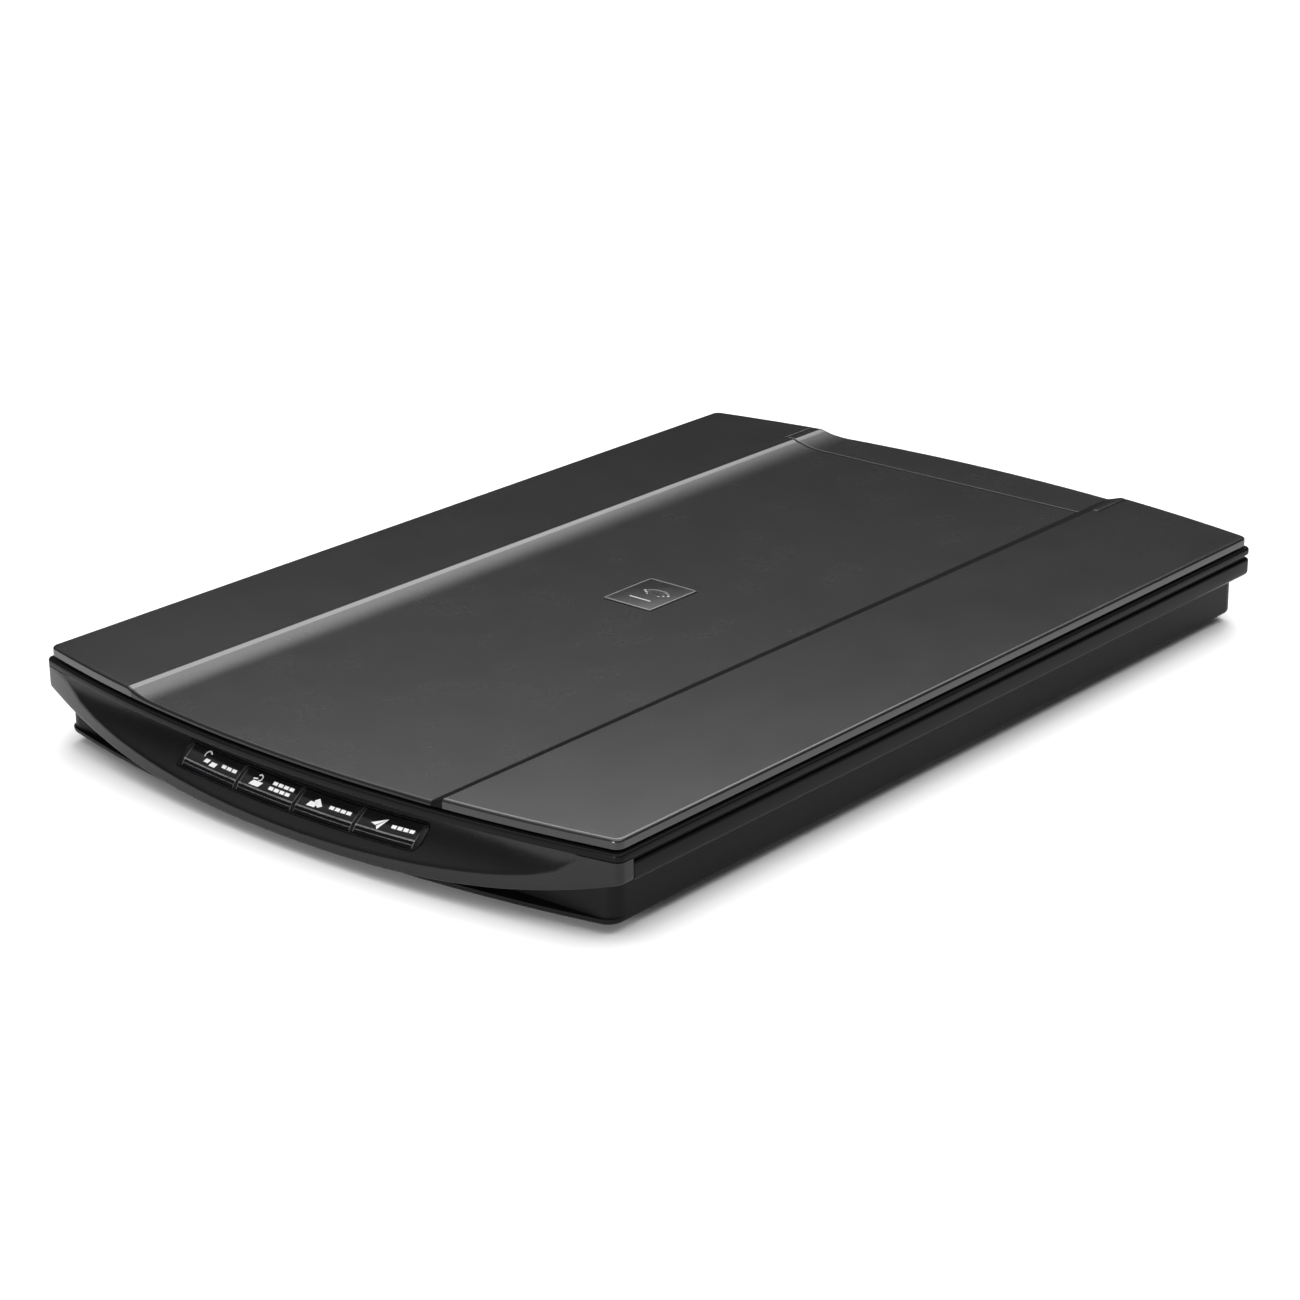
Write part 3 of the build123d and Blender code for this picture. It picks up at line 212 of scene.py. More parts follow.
LOOKS = {
    "lid_black": moulded("lid_satin", (0.008, 0.008, 0.0083), 0.22, grain=3200.0, strength=0.2,
                         haze=0.008),
    "case_black": moulded("case_satin", (0.004, 0.004, 0.0042), 0.30, Specular_IOR_Level=0.06),
    "fascia_black": moulded("fascia_satin", (0.005, 0.005, 0.0053), 0.27, grain=3600.0,
                            Specular_IOR_Level=0.25),
    "tub_black": moulded("tub_matte", (0.0045, 0.0045, 0.0045), 0.40, grain=1500.0, depth=0.00006,
                         strength=0.5, Specular_IOR_Level=0.08),
    "inner_black": moulded("inner_matte", (0.012, 0.012, 0.012), 0.6, grain=1300.0),
    "carriage_black": moulded("filled_plastic", (0.018, 0.018, 0.019), 0.52, grain=900.0),
    "gloss_black": polished("button_gloss", (0.004, 0.004, 0.0045), 0.12),
    "gear_white": moulded("acetal_white", (0.72, 0.71, 0.66), 0.38, grain=1100.0),
    "rack_grey": moulded("acetal_grey", (0.16, 0.16, 0.165), 0.42, grain=1100.0),
    "glass": clear("platen_glass", (0.82, 0.90, 0.88), 0.02, thin=0.16),
    "window_glass": clear("window_glass", (0.75, 0.82, 0.82), 0.03, thin=0.3),
    "clear_guide": clear("light_guide", (0.88, 0.92, 0.96), 0.12, thin=0.5),
    "lens_dark": polished("lens_resin", (0.01, 0.01, 0.013), 0.2),
    "tape": moulded("tape_black", (0.02, 0.02, 0.02), 0.5),
    "white_strip": moulded("white_strip", (0.82, 0.82, 0.80), 0.6),
    "white_sheet": moulded("white_sheet", (0.78, 0.78, 0.765), 0.45, grain=900.0),
    "foam": foam("pad_foam", (0.55, 0.55, 0.54)),
    "rubber": rubber("soft_rubber", (0.012, 0.012, 0.012)),
    "steel": metal("ground_steel", (0.56, 0.56, 0.58), 0.22, along=(1.0, 0.04, 1.0)),
    "zinc": metal("zinc_plate", (0.55, 0.55, 0.53), 0.34),
    "spring_steel": metal("spring_wire", (0.45, 0.45, 0.47), 0.3),
    "motor_can": metal("motor_can", (0.52, 0.52, 0.54), 0.32, along=(1.0, 1.0, 0.1)),
    "nickel": metal("nickel_shell", (0.66, 0.65, 0.62), 0.22),
    "board_green": circuit("solder_mask", (0.006, 0.06, 0.022), (0.03, 0.16, 0.06)),
    "chip": moulded("chip_package", (0.012, 0.012, 0.013), 0.5, grain=2500.0),
    "connector": moulded("natural_nylon", (0.55, 0.5, 0.4), 0.45),
    "flex": polished("flex_cable", (0.42, 0.46, 0.52), 0.3),
    "switch_body": moulded("switch_body", (0.02, 0.02, 0.02), 0.5),
}


LID_MIDDLE = moulded("lid_middle", (0.007, 0.007, 0.0073), 0.27, grain=4200.0, strength=0.3,
                     haze=0.008, Specular_IOR_Level=0.25)
# Near-black, dull material for the lid's right slope: painted shade that stands in for the shadow
# line along the step.
LID_STEP_PAINTED_SHADE = moulded("lid_step_painted_shade", (0.003, 0.003, 0.0032), 0.7, grain=4200.0, strength=0.4,
                   Specular_IOR_Level=0.05)
# Silver lines on the buttons, partly real trim and partly painted highlight: the bright copy paints
# the strong highlight along each fold, and the faint copy is the same metal darkened to paint the
# weaker highlights.
TRIM_PAINTED_HIGHLIGHT = metal("trim_painted_highlight", (0.62, 0.62, 0.62), 0.3)
TRIM_PAINTED_FAINT_HIGHLIGHT = metal("trim_painted_faint_highlight", (0.3, 0.3, 0.3), 0.35)
PRINT_WHITE = moulded("white_print", (0.72, 0.72, 0.72), 0.5)
PRINT_GREY = moulded("grey_print", (0.4, 0.4, 0.4), 0.5)
BADGE_BLACK = polished("badge_black", (0.003, 0.003, 0.003), 0.3, Specular_IOR_Level=0.3)


def dress_cad_nodes():
    """Give every carried-over CAD node the look of its slot in the record."""
    for row in frame["record"]["subparts"]:
        node = NODES[row["node"]]
        node.data.materials.clear()
        node.data.materials.append(LOOKS[row["material_slot"]])


# ------------------------------------------------------------------ sizes, in millimetres

def box_mm(node):
    """Lowest and highest corner of a CAD node in millimetres."""
    return [Vector(corner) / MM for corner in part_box(node)]


def joint_row(name):
    """A joint's row in the record."""
    return next(j for j in frame["record"]["behaviour"]["joints"] if j["name"] == name)


CASE_HIGH = box_mm("upper_frame")[1]
LID_LOW, LID_HIGH = box_mm("lid_cover")
COVER_LOW, COVER_HIGH = box_mm("hinge_cover")
BADGE_LOW, BADGE_HIGH = box_mm("lid_badge")
END_DROP = 14.0           # how far the bowed case ends fall back at the corners
LID_END_DROP = 13.7
LID_CROWN = -LID_LOW.y
CORNER_R = 3.0

GROOVE_LOW = 24.4
GROOVE_TOP = 26.0
GROOVE_DEPTH = 1.2
DECK_Z = 26.9
DECK_UNDER = 25.5
RIM_WIDTH = 5.5
SHELL_WALL = 2.2
BAY_HALF_X = 83.0
BAY_Z = 26.3
SEAM_Y = 166.0
WINDOW_X = 108.25
WINDOW_Y = (-159.5, 138.5)

SCOOP_DEPTH = 11.3
SCOOP_H = 18.0
APRON_Z = 4.2
APRON_RISE = 14.8         # the lower edge climbs this much towards the corners
FASCIA_TOP = GROOVE_TOP - 0.1
LIP_ROUND = 1.1
SCOOP_HALF_X = 116.0      # the panel's top edge follows the scoop inside this
CEILING_HALF_X = 118.0    # ceiling and panel back are clear of the side wall inside this

LEFT_CREST_X = -76.0
LEFT_FOOT_X = -63.0
RIGHT_CREST_X = 64.0
RIGHT_SLOPE = (4.2, 6.6)  # its width at the front and at the rear
MID_FRONT_Z = 30.85
MID_REAR_Z = 30.25
LID_ROUND = 1.0
SEAM_ROUND = 0.4
CUTOUT_Y = 161.0
COVER_GAP = 0.4
CUTOUT_X = (COVER_LOW.x - COVER_GAP, COVER_HIGH.x + COVER_GAP)
HINGE_LEGS = ("hinge_leg_left", "hinge_leg_right")
LEG_PLAY = 0.4            # gap round each leg in the deck
BOSS_MARGIN = (3.0, 2.5)  # how much a boss of the hinge cover is larger than its leg


class Plan:
    """Plan outline with straight sides, bowed ends and round corners."""

    def __init__(self, half_x, corner, crown, radius):
        self.half_x = half_x
        self.corner = corner
        self.crown = crown
        self.radius = radius
        bow = crown - corner
        self.bow_r = (half_x ** 2 + bow ** 2) / (2 * bow)
        self.bow_y = crown - self.bow_r
        self.turn_x = half_x - radius
        self.turn_y = self.bow_y + sqrt((self.bow_r - radius) ** 2 - self.turn_x ** 2)
        self.meet_x = self.turn_x * self.bow_r / (self.bow_r - radius)

    def drawn_in(self, inset):
        radius = max(self.radius - inset, 0.4)
        return Plan(self.half_x - inset, self.corner - inset, self.crown - inset, radius)

    def end(self, x):
        """How far the bowed end reaches at x."""
        across = abs(x)
        if across <= self.meet_x:
            return self.bow_y + sqrt(self.bow_r ** 2 - across ** 2)
        over = min(across - self.turn_x, self.radius)
        return self.turn_y + sqrt(self.radius ** 2 - over ** 2)

    def depth(self, x, y):
        """Distance in from the outline."""
        across, along = abs(x), abs(y)
        if across > self.turn_x and along > self.turn_y:
            return self.radius - hypot(across - self.turn_x, along - self.turn_y)
        return min(self.half_x - across, self.bow_r - hypot(across, along - self.bow_y))


CASE_PLAN = Plan(CASE_HIGH.x, CASE_HIGH.y - END_DROP, CASE_HIGH.y, CORNER_R)
LID_PLAN = Plan(LID_HIGH.x, LID_CROWN - LID_END_DROP, LID_CROWN, CORNER_R)


# ------------------------------------------------------------------ mesh tools

def add_object(name, data):
    thing = bpy.data.objects.new(name, data)
    bpy.context.scene.collection.objects.link(thing)
    return thing


CREASE = 34.0             # edges that turn more than this many degrees stay sharp


def link_piece(name, mesh, slot, body, replaced=(), looks=None, crease=CREASE):
    """Shade a mesh, dress it and let it ride on a body, or on none if no body is given."""
    bm = bmesh.new()
    bm.from_mesh(mesh)
    bmesh.ops.remove_doubles(bm, verts=bm.verts, dist=0.000002)
    loose = [v for v in bm.verts if not v.link_faces]
    bmesh.ops.delete(bm, geom=loose, context="VERTS")
    bmesh.ops.recalc_face_normals(bm, faces=bm.faces)
    bm.to_mesh(mesh)
    bm.free()
    mesh.polygons.foreach_set("use_smooth", [True] * len(mesh.polygons))
    mesh.set_sharp_from_angle(angle=radians(crease))
    for look in looks or [LOOKS[slot]]:
        mesh.materials.append(look)
    piece = add_object(name, mesh)
    if body:
        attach(piece, body)
    if replaced:
        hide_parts(*replaced)
    return piece


def mesh_mm(name, verts, faces, material_of=None):
    """Mesh from points in millimetres, with a material number for each face."""
    mesh = bpy.data.meshes.new(name)
    mesh.from_pydata([Vector(v) * MM for v in verts], [], faces)
    if material_of:
        for polygon in mesh.polygons:
            polygon.material_index = material_of(polygon.center / MM)
    return mesh


def through_sections(sections, ring=False):
    """Quads through closed sections with equal point counts, capped unless they form a ring."""
    count = len(sections[0])
    verts = [point for section in sections for point in section]
    faces = []
    for i in range(len(sections) if ring else len(sections) - 1):
        near = i * count
        far = (i + 1) % len(sections) * count
        for j in range(count):
            k = (j + 1) % count
            faces.append((near + j, far + j, far + k, near + k))
    if not ring:
        faces.append(tuple(range(count)))
        faces.append(tuple(reversed(range(len(verts) - count, len(verts)))))
    return verts, faces


def joined(*meshes):
    """Several (verts, faces) pairs as one."""
    verts, faces = [], []
    for more_verts, more_faces in meshes:
        base = len(verts)
        verts.extend(more_verts)
        faces.extend(tuple(i + base for i in face) for face in more_faces)
    return verts, faces


def bend(start, corner, end, steps):
    """Points of a quadratic curve from start to end, pulled towards the corner."""
    start, corner, end = Vector(start), Vector(corner), Vector(end)
    points = []
    for k in range(steps + 1):
        t = k / steps
        points.append(start * (1 - t) ** 2 + corner * 2 * t * (1 - t) + end * t ** 2)
    return points


def round_drop(depth, radius):
    """How far a rounded edge has fallen at a distance in from the edge."""
    if depth >= radius:
        return 0.0
    short = radius - max(depth, 0.0)
    return radius - sqrt(max(radius ** 2 - short ** 2, 0.0))


def prism(outline, place, low, high):
    """Closed prism on an outline; place(x, up, out) gives its points."""
    count = len(outline)
    verts = [place(x, y, low) for x, y in outline] + [place(x, y, high) for x, y in outline]
    faces = [tuple(reversed(range(count))), tuple(range(count, 2 * count))]
    for i in range(count):
        j = (i + 1) % count
        faces.append((i, j, j + count, i + count))
    return verts, faces


def flat_place(x, y, z):
    return (x, y, z)


def carve(piece, cut):
    """Cut the closed (verts, faces) pair out of a piece."""
    mesh = mesh_mm("cutter", *cut)
    bm = bmesh.new()
    bm.from_mesh(mesh)
    bmesh.ops.recalc_face_normals(bm, faces=bm.faces)
    bm.to_mesh(mesh)
    bm.free()
    cutter = add_object("cutter", mesh)
    boolean = piece.modifiers.new("cut", "BOOLEAN")
    boolean.operation = "DIFFERENCE"
    boolean.solver = "EXACT"
    boolean.object = cutter
    bpy.context.view_layer.update()
    solid = piece.evaluated_get(bpy.context.evaluated_depsgraph_get())
    result = bpy.data.meshes.new_from_object(solid)
    piece.modifiers.clear()
    piece.data = result
    result.polygons.foreach_set("use_smooth", [True] * len(result.polygons))
    result.set_sharp_from_angle(angle=radians(CREASE))
    bpy.data.objects.remove(cutter)


def rectangle(x0, x1, y0, y1):
    return [(x0, y0), (x1, y0), (x1, y1), (x0, y1)]


# ------------------------------------------------------------------ case shell

CORNER_STEPS = 7
SIDE_STEPS = 14
BOW_X = sorted([*range(-112, 113, 8), -BAY_HALF_X - 0.3, -BAY_HALF_X, BAY_HALF_X, BAY_HALF_X + 0.3])


def rear_end(plan):
    """The rear end from the right side to the left one."""
    turn = atan2(plan.turn_y - plan.bow_y, plan.turn_x)
    corner = []
    for k in range(CORNER_STEPS + 1):
        angle = turn * k / CORNER_STEPS
        corner.append((plan.turn_x + plan.radius * cos(angle),
                       plan.turn_y + plan.radius * sin(angle)))
    bow = [(x, plan.end(x)) for x in reversed(BOW_X)]
    return corner + bow + [(-x, y) for x, y in reversed(corner)]


def around(plan):
    """The whole outline, seen from above, against the clock."""
    rear = rear_end(plan)
    front = [(-x, -y) for x, y in rear]
    fall = [plan.turn_y * k / SIDE_STEPS for k in range(SIDE_STEPS - 1, -SIDE_STEPS, -1)]
    left = [(-plan.half_x, y) for y in fall]
    right = [(plan.half_x, y) for y in reversed(fall)]
    return rear + left + front + right


def behind_seam(plan):
    """From the right end of the front panel round the rear to its left end."""
    climb = [-SEAM_Y, -SEAM_Y + 0.1, -SEAM_Y + 0.3, -SEAM_Y + 0.6]
    climb += [-SEAM_Y + 1 + 20 * k for k in range(17)]
    climb = [y for y in climb if y < plan.turn_y - 1]
    right = [(plan.half_x, y) for y in climb]
    left = [(-plan.half_x, y) for y in reversed(climb)]
    return right + rear_end(plan) + left


def before_seam(plan):
    """From the left end of the front panel round the front to its right end."""
    side = [-SEAM_Y - 0.15, -SEAM_Y - 0.3, -SEAM_Y - 0.7]
    side = [y for y in side if -y < plan.turn_y - 0.05]
    left = [(-plan.half_x, y) for y in side]
    right = [(plan.half_x, y) for y in reversed(side)]
    return left + [(-x, -y) for x, y in rear_end(plan)] + right


def window_loop():
    """Where each outline point meets the scan window."""
    y0, y1 = WINDOW_Y
    return [(max(-WINDOW_X, min(WINDOW_X, x)), max(y0, min(y1, y)))
            for x, y in around(CASE_PLAN.drawn_in(RIM_WIDTH))]


def ceiling_loop():
    """Rear edge of the flat ceiling over the front scoop, and the deck edge elsewhere."""
    inner = around(CASE_PLAN.drawn_in(RIM_WIDTH))
    return [(x, max(y, -SEAM_Y)) if y < -SEAM_Y and abs(x) < CEILING_HALF_X else (x, y)
            for x, y in inner]


RIM_TOP = CASE_HIGH.z
RIM_PROFILE = [(0.5, GROOVE_TOP), (0.22, GROOVE_TOP + 0.06), (0.06, GROOVE_TOP + 0.22),
               (0.0, GROOVE_TOP + 0.5), (0.0, RIM_TOP - 0.9), (0.07, RIM_TOP - 0.52),
               (0.27, RIM_TOP - 0.22), (0.56, RIM_TOP - 0.05), (0.9, RIM_TOP),
               (4.7, RIM_TOP), (5.1, RIM_TOP - 0.07), (5.38, RIM_TOP - 0.3),
               (RIM_WIDTH, RIM_TOP - 0.7), (RIM_WIDTH, DECK_Z)]


def rim_sections():
    """Rim, deck and ceiling as closed sections round the case."""
    loops = {inset: around(CASE_PLAN.drawn_in(inset)) for inset, _ in RIM_PROFILE}
    window = window_loop()
    ceiling = ceiling_loop()
    sections = []
    for i, (x, y) in enumerate(loops[0.0]):
        bay = y > 0 and abs(x) <= BAY_HALF_X
        section = [(*loops[inset][i], min(z, BAY_Z) if bay else z) for inset, z in RIM_PROFILE]
        section += [(*window[i], DECK_Z), (*window[i], DECK_UNDER), (*ceiling[i], DECK_UNDER),
                    (*ceiling[i], GROOVE_TOP)]
        sections.append(section)
    return sections


BAND_LOW = 18.2
BAND_PROFILE = [(SHELL_WALL, BAND_LOW), (1.7, BAND_LOW), (1.1, BAND_LOW + 0.06),
                (0.62, BAND_LOW + 0.3), (0.28, BAND_LOW + 0.72), (0.06, BAND_LOW + 1.25),
                (0.0, BAND_LOW + 1.6), (0.0, GROOVE_LOW - 0.75), (0.05, GROOVE_LOW - 0.4),
                (0.2, GROOVE_LOW - 0.16), (0.42, GROOVE_LOW - 0.04), (0.7, GROOVE_LOW),
                (GROOVE_DEPTH, GROOVE_LOW), (GROOVE_DEPTH, GROOVE_TOP + 0.02),
                (SHELL_WALL, GROOVE_TOP + 0.02)]
SEAM_END_ROUND = (0.45, 0.2, 0.05)


def band_sections():
    """Lower band of the shell from seam to seam, with slightly rounded ends."""
    loops = {inset: behind_seam(CASE_PLAN.drawn_in(inset)) for inset, _ in BAND_PROFILE}
    count = len(loops[0.0])
    sections = []
    for i in range(count):
        from_end = min(i, count - 1 - i)
        extra = SEAM_END_ROUND[from_end] if from_end < len(SEAM_END_ROUND) else 0.0
        section = []
        for inset, z in BAND_PROFILE:
            x, y = loops[inset][i]
            pull = max(extra - inset, 0.0)
            section.append((x - pull if x > 0 else x + pull, y, z))
        sections.append(section)
    return sections


def make_case_shell():
    shell = joined(through_sections(rim_sections(), ring=True), through_sections(band_sections()))
    piece = link_piece("case_shell", mesh_mm("case_shell", *shell), "case_black", "base",
                       ["upper_frame"])
    for leg in HINGE_LEGS:
        low, high = box_mm(leg)
        hole = rectangle(low.x - LEG_PLAY, high.x + LEG_PLAY, low.y - LEG_PLAY, high.y + LEG_PLAY)
        carve(piece, prism(hole, flat_place, DECK_UNDER - 1, DECK_Z + 1))


# ------------------------------------------------------------------ front panel

def scoop_y(z):
    """Depth line of the scoop: deepest under the rim, running out at the lip."""
    return -CASE_HIGH.y + SCOOP_DEPTH * (1 - ((GROOVE_TOP - z) / SCOOP_H) ** 2)


def lip_z(y):
    """Height at which the scoop runs out through the front face at y."""
    share = (y + CASE_HIGH.y) / SCOOP_DEPTH
    if share >= 1.0:
        return FASCIA_TOP
    return min(GROOVE_TOP - SCOOP_H * sqrt(1.0 - share), FASCIA_TOP)


def apron_z(x):
    """Lower edge of the front face, climbing towards the corners."""
    return APRON_Z + APRON_RISE * min(abs(x) / CASE_HIGH.x, 1.0) ** 2.8


SCOOP_ROWS = 14
FACE_ROWS = 6


def front_section(outer, inner):
    """Closed section of the front panel at one outline point."""
    x, y = outer
    inner_x, inner_y = inner
    lip = lip_z(y)
    foot = apron_z(x)
    hollow = abs(x) < SCOOP_HALF_X
    back = max(scoop_y(FASCIA_TOP), y + 0.8) if hollow else inner_y
    curl = min(LIP_ROUND, 0.45 * (FASCIA_TOP - lip))
    scoop = []
    for k in range(SCOOP_ROWS + 1):
        z = FASCIA_TOP + (lip + curl - FASCIA_TOP) * k / SCOOP_ROWS
        scoop.append((x, max(scoop_y(z), y) if lip < FASCIA_TOP else y, z))
    fall = min(LIP_ROUND * 0.8, 0.35 * (lip - foot))
    edge = bend(scoop[-1], (x, y, lip), (x, y, lip - fall), 6)
    face = [(x, y, lip - fall + (foot + 0.9 - lip + fall) * k / FACE_ROWS)
            for k in range(1, FACE_ROWS + 1)]
    middle = ((x + inner_x) / 2, (y + inner_y) / 2)
    under = bend(face[-1], (x, y, foot), (*middle, foot), 4)
    wall = [(inner_x, inner_y, foot), (inner_x, inner_y, max(lip - 2.4, foot + 0.5))]
    deep = []
    for k in range(SCOOP_ROWS, -1, -1):
        z = scoop[k][2]
        line = max(scoop_y(z) + SHELL_WALL + 0.6, inner_y) if lip < FASCIA_TOP else inner_y
        deep.append((inner_x if abs(x) > CEILING_HALF_X else x, line, z))
    top = [(x if hollow else inner_x, back, FASCIA_TOP)]
    return top + scoop + edge[1:] + face + under[1:] + wall + deep


def make_front_panel():
    outer = before_seam(CASE_PLAN)
    inner = before_seam(CASE_PLAN.drawn_in(SHELL_WALL))
    sections = [front_section(a, b) for a, b in zip(outer, inner)]
    mesh = mesh_mm("front_panel", *through_sections(sections))
    piece = link_piece("front_panel", mesh, "fascia_black", "base", ["front_fascia"])
    hole = leaning(SURROUND_W, SURROUND_H, SURROUND_X, corner=END_ROUND)
    carve(piece, prism(hole, on_row, -5.0, 5.0))


# ------------------------------------------------------------------ buttons

ROW_OUT = -Vector(joint_row("button_1_press")["axis"]).normalized()
ROW_UP = Vector((0.0, ROW_OUT.z, -ROW_OUT.y))
SURROUND_FRONT = 0.5
SURROUND_BACK = 1.6
SURROUND_LOW, SURROUND_HIGH = box_mm("button_surround")
SURROUND_X = (SURROUND_LOW.x + SURROUND_HIGH.x) / 2
ROW_CENTRE = (SURROUND_LOW + SURROUND_HIGH) / 2
ROW_CENTRE += ROW_OUT * (SURROUND_BACK - SURROUND_FRONT) / 2
ROW_CENTRE.x = 0.0
SURROUND_W = 105.4
SURROUND_H = 10.0
BUTTON_W = 24.4
BUTTON_H = 8.1
LEAN = 1.7 / BUTTON_H     # sideways lean for each millimetre up the row
ROW_HALF = 52.0
ROW_BOW = 1.85            # the ends of the row climb this much above its middle
END_ROUND = 2.6


def on_row(x, up, out):
    """Point of the slanted button row, which bows with the lip: along, up and out of it."""
    bow = ROW_BOW * (((x - SURROUND_X) / ROW_HALF) ** 2 - 0.4)
    return ROW_CENTRE + Vector((x, 0.0, 0.0)) + ROW_UP * (up + bow) + ROW_OUT * out


def leaning(width, height, centre_x, corner=0.0):
    """Leaning outline, with both right-hand corners rounded if asked."""
    half_w, half_h = width / 2, height / 2
    along = [-half_w + (width - corner) * k / 16 for k in range(17)]
    low = [(x, -half_h) for x in along]
    high = [(x, half_h) for x in reversed(along)]
    if corner:
        turn_x = half_w - corner
        low = low[:-1] + arc((turn_x, corner - half_h), corner, -90, 0, 6)
        high = arc((turn_x, half_h - corner), corner, 0, 90, 6) + high[1:]
    return [(centre_x + x + LEAN * y, y) for x, y in low + high]


def make_surround():
    rows = ((0.0, -SURROUND_BACK), (0.0, SURROUND_FRONT - 0.3), (0.1, SURROUND_FRONT - 0.08),
            (0.32, SURROUND_FRONT))
    sections = []
    for inset, out in rows:
        outline = leaning(SURROUND_W - 0.2 - 2 * inset, SURROUND_H - 0.2 - 2 * inset, SURROUND_X,
                          corner=END_ROUND - inset)
        sections.append([on_row(x, up, out) for x, up in outline])
    mesh = mesh_mm("button_bezel", *through_sections(sections))
    piece = link_piece("button_bezel", mesh, "gloss_black", "base", ["button_surround"])
    for number in BUTTONS:
        hole = leaning(BUTTON_W + 0.5, BUTTON_H + 0.5, button_x(number))
        carve(piece, prism(hole, on_row, -3.0, 3.0))


BUTTONS = (1, 2, 3, 4)
KEY_TOP = (3.8, 0.34)
KEY_EDGE = (-1.3, 0.62)
KEY_SECTION = [(4.05, -1.7), (4.05, 0.1), (3.98, 0.27), KEY_TOP, KEY_EDGE, (-1.38, 0.78),
               (-1.72, 0.78), (-1.84, 0.62), (-2.8, 0.45), (-2.86, 0.5), (-3.0, 0.47),
               (-3.08, 0.38), (-3.9, 0.2), (-4.05, 0.05), (-4.05, -1.7)]
HIGHLIGHT_ROWS = (4, 5, 6)     # bright metal line along the fold of a button, a painted highlight
FAINT_HIGHLIGHT_ROWS = (8, 9, 10)   # thinner, darker metal line across its lower face, a painted weaker highlight
END_ROWS = range(2, 13)   # thin darker metal lines down both ends, painted weaker highlights
TRIM_W = 0.34


def button_x(number):
    """Middle of a button along the row."""
    low, high = box_mm(f"button_{number}")
    return (low.x + high.x) / 2


def make_button(number):
    centre = button_x(number)
    half = BUTTON_W / 2
    inner = half - TRIM_W
    spots = [-half, *[-inner + 2 * inner * k / 5 for k in range(6)], half]
    sections = [[on_row(centre + spot + LEAN * up, up, out) for up, out in KEY_SECTION]
                for spot in spots]
    verts, faces = through_sections(sections)
    mesh = mesh_mm(f"key_{number}", verts, faces)
    count = len(KEY_SECTION)
    for i in range((len(spots) - 1) * count):
        strip, row = divmod(i, count)
        # Painted highlight lines: bright along the fold, faint across the lower face and down the
        # ends.
        if row in HIGHLIGHT_ROWS:
            mesh.polygons[i].material_index = 1
        elif row in FAINT_HIGHLIGHT_ROWS or strip in (0, len(spots) - 2) and row in END_ROWS:
            mesh.polygons[i].material_index = 2
    link_piece(f"key_{number}", mesh, "gloss_black", f"button_{number}_body",
               [f"button_{number}"], [LOOKS["gloss_black"], TRIM_PAINTED_HIGHLIGHT, TRIM_PAINTED_FAINT_HIGHLIGHT], crease=20.0)


def on_key(x, up, out):
    """Point on the sloping upper face of a button."""
    share = (KEY_TOP[0] - up) / (KEY_TOP[0] - KEY_EDGE[0])
    level = KEY_TOP[1] + (KEY_EDGE[1] - KEY_TOP[1]) * share
    return on_row(x + LEAN * up, up, level + out)


def stroke(points, width, close=False):
    """Flat outlines, one for each run of a drawn line."""
    pairs = list(zip(points, points[1:] + points[:1] if close else points[1:]))
    runs = []
    for (x0, y0), (x1, y1) in pairs:
        length = hypot(x1 - x0, y1 - y0)
        side_x, side_y = -(y1 - y0) / length * width / 2, (x1 - x0) / length * width / 2
        over_x, over_y = (x1 - x0) / length * width / 2, (y1 - y0) / length * width / 2
        runs.append([(x0 - over_x + side_x, y0 - over_y + side_y),
                     (x0 - over_x - side_x, y0 - over_y - side_y),
                     (x1 + over_x - side_x, y1 + over_y - side_y),
                     (x1 + over_x + side_x, y1 + over_y + side_y)])
    return runs


def arc(centre, radius, start, end, steps=10):
    """Points on an arc between two angles in degrees."""
    return [(centre[0] + radius * cos(radians(start + (end - start) * k / steps)),
             centre[1] + radius * sin(radians(start + (end - start) * k / steps)))
            for k in range(steps + 1)]


def sheet_mark(x, y, width, height, skew=0.5):
    """Small sheet lying in perspective."""
    return [(x, y), (x + width, y), (x + width + skew, y + height), (x + skew, y + height)]


def icon_documents():
    return (stroke(arc((1.4, 2.2), 1.3, 40, 200), 0.42)
            + [sheet_mark(1.0, -0.2, 2.0, 1.3), sheet_mark(3.9, -0.7, 2.6, 1.5)])


def icon_scan():
    return ([sheet_mark(0.0, -0.9, 4.2, 1.7, 1.1)]
            + stroke(arc((3.0, 2.0), 1.0, -80, 130), 0.42)
            + stroke([(0.8, 1.3), (2.2, 1.55)], 0.4))


def icon_copy():
    return [sheet_mark(0.0, -0.7, 3.3, 1.6, 0.9), [(2.2, 1.3), (4.6, -0.5), (6.2, 0.3), (3.7, 2.4)]]


def icon_send():
    return [[(0.0, 0.4), (5.6, 2.6), (2.0, -0.1)], [(2.5, -0.3), (5.6, 2.6), (3.4, -1.3)]]


def dashes(x, y, count, size=(1.9, 1.1), gap=0.5):
    """Row of plain blocks beside an icon, in place of a word."""
    return [rectangle(x + k * (size[0] + gap), x + k * (size[0] + gap) + size[0], y, y + size[1])
            for k in range(count)]


BUTTON_MARKS = {
    1: (icon_documents, -5.4, ((3.6, 0.3, 3),)),
    2: (icon_scan, -8.4, ((0.6, 1.5, 4), (0.1, -0.4, 4))),
    3: (icon_copy, -8.4, ((0.6, 0.3, 4),)),
    4: (icon_send, -7.2, ((0.9, 0.3, 4),)),
}


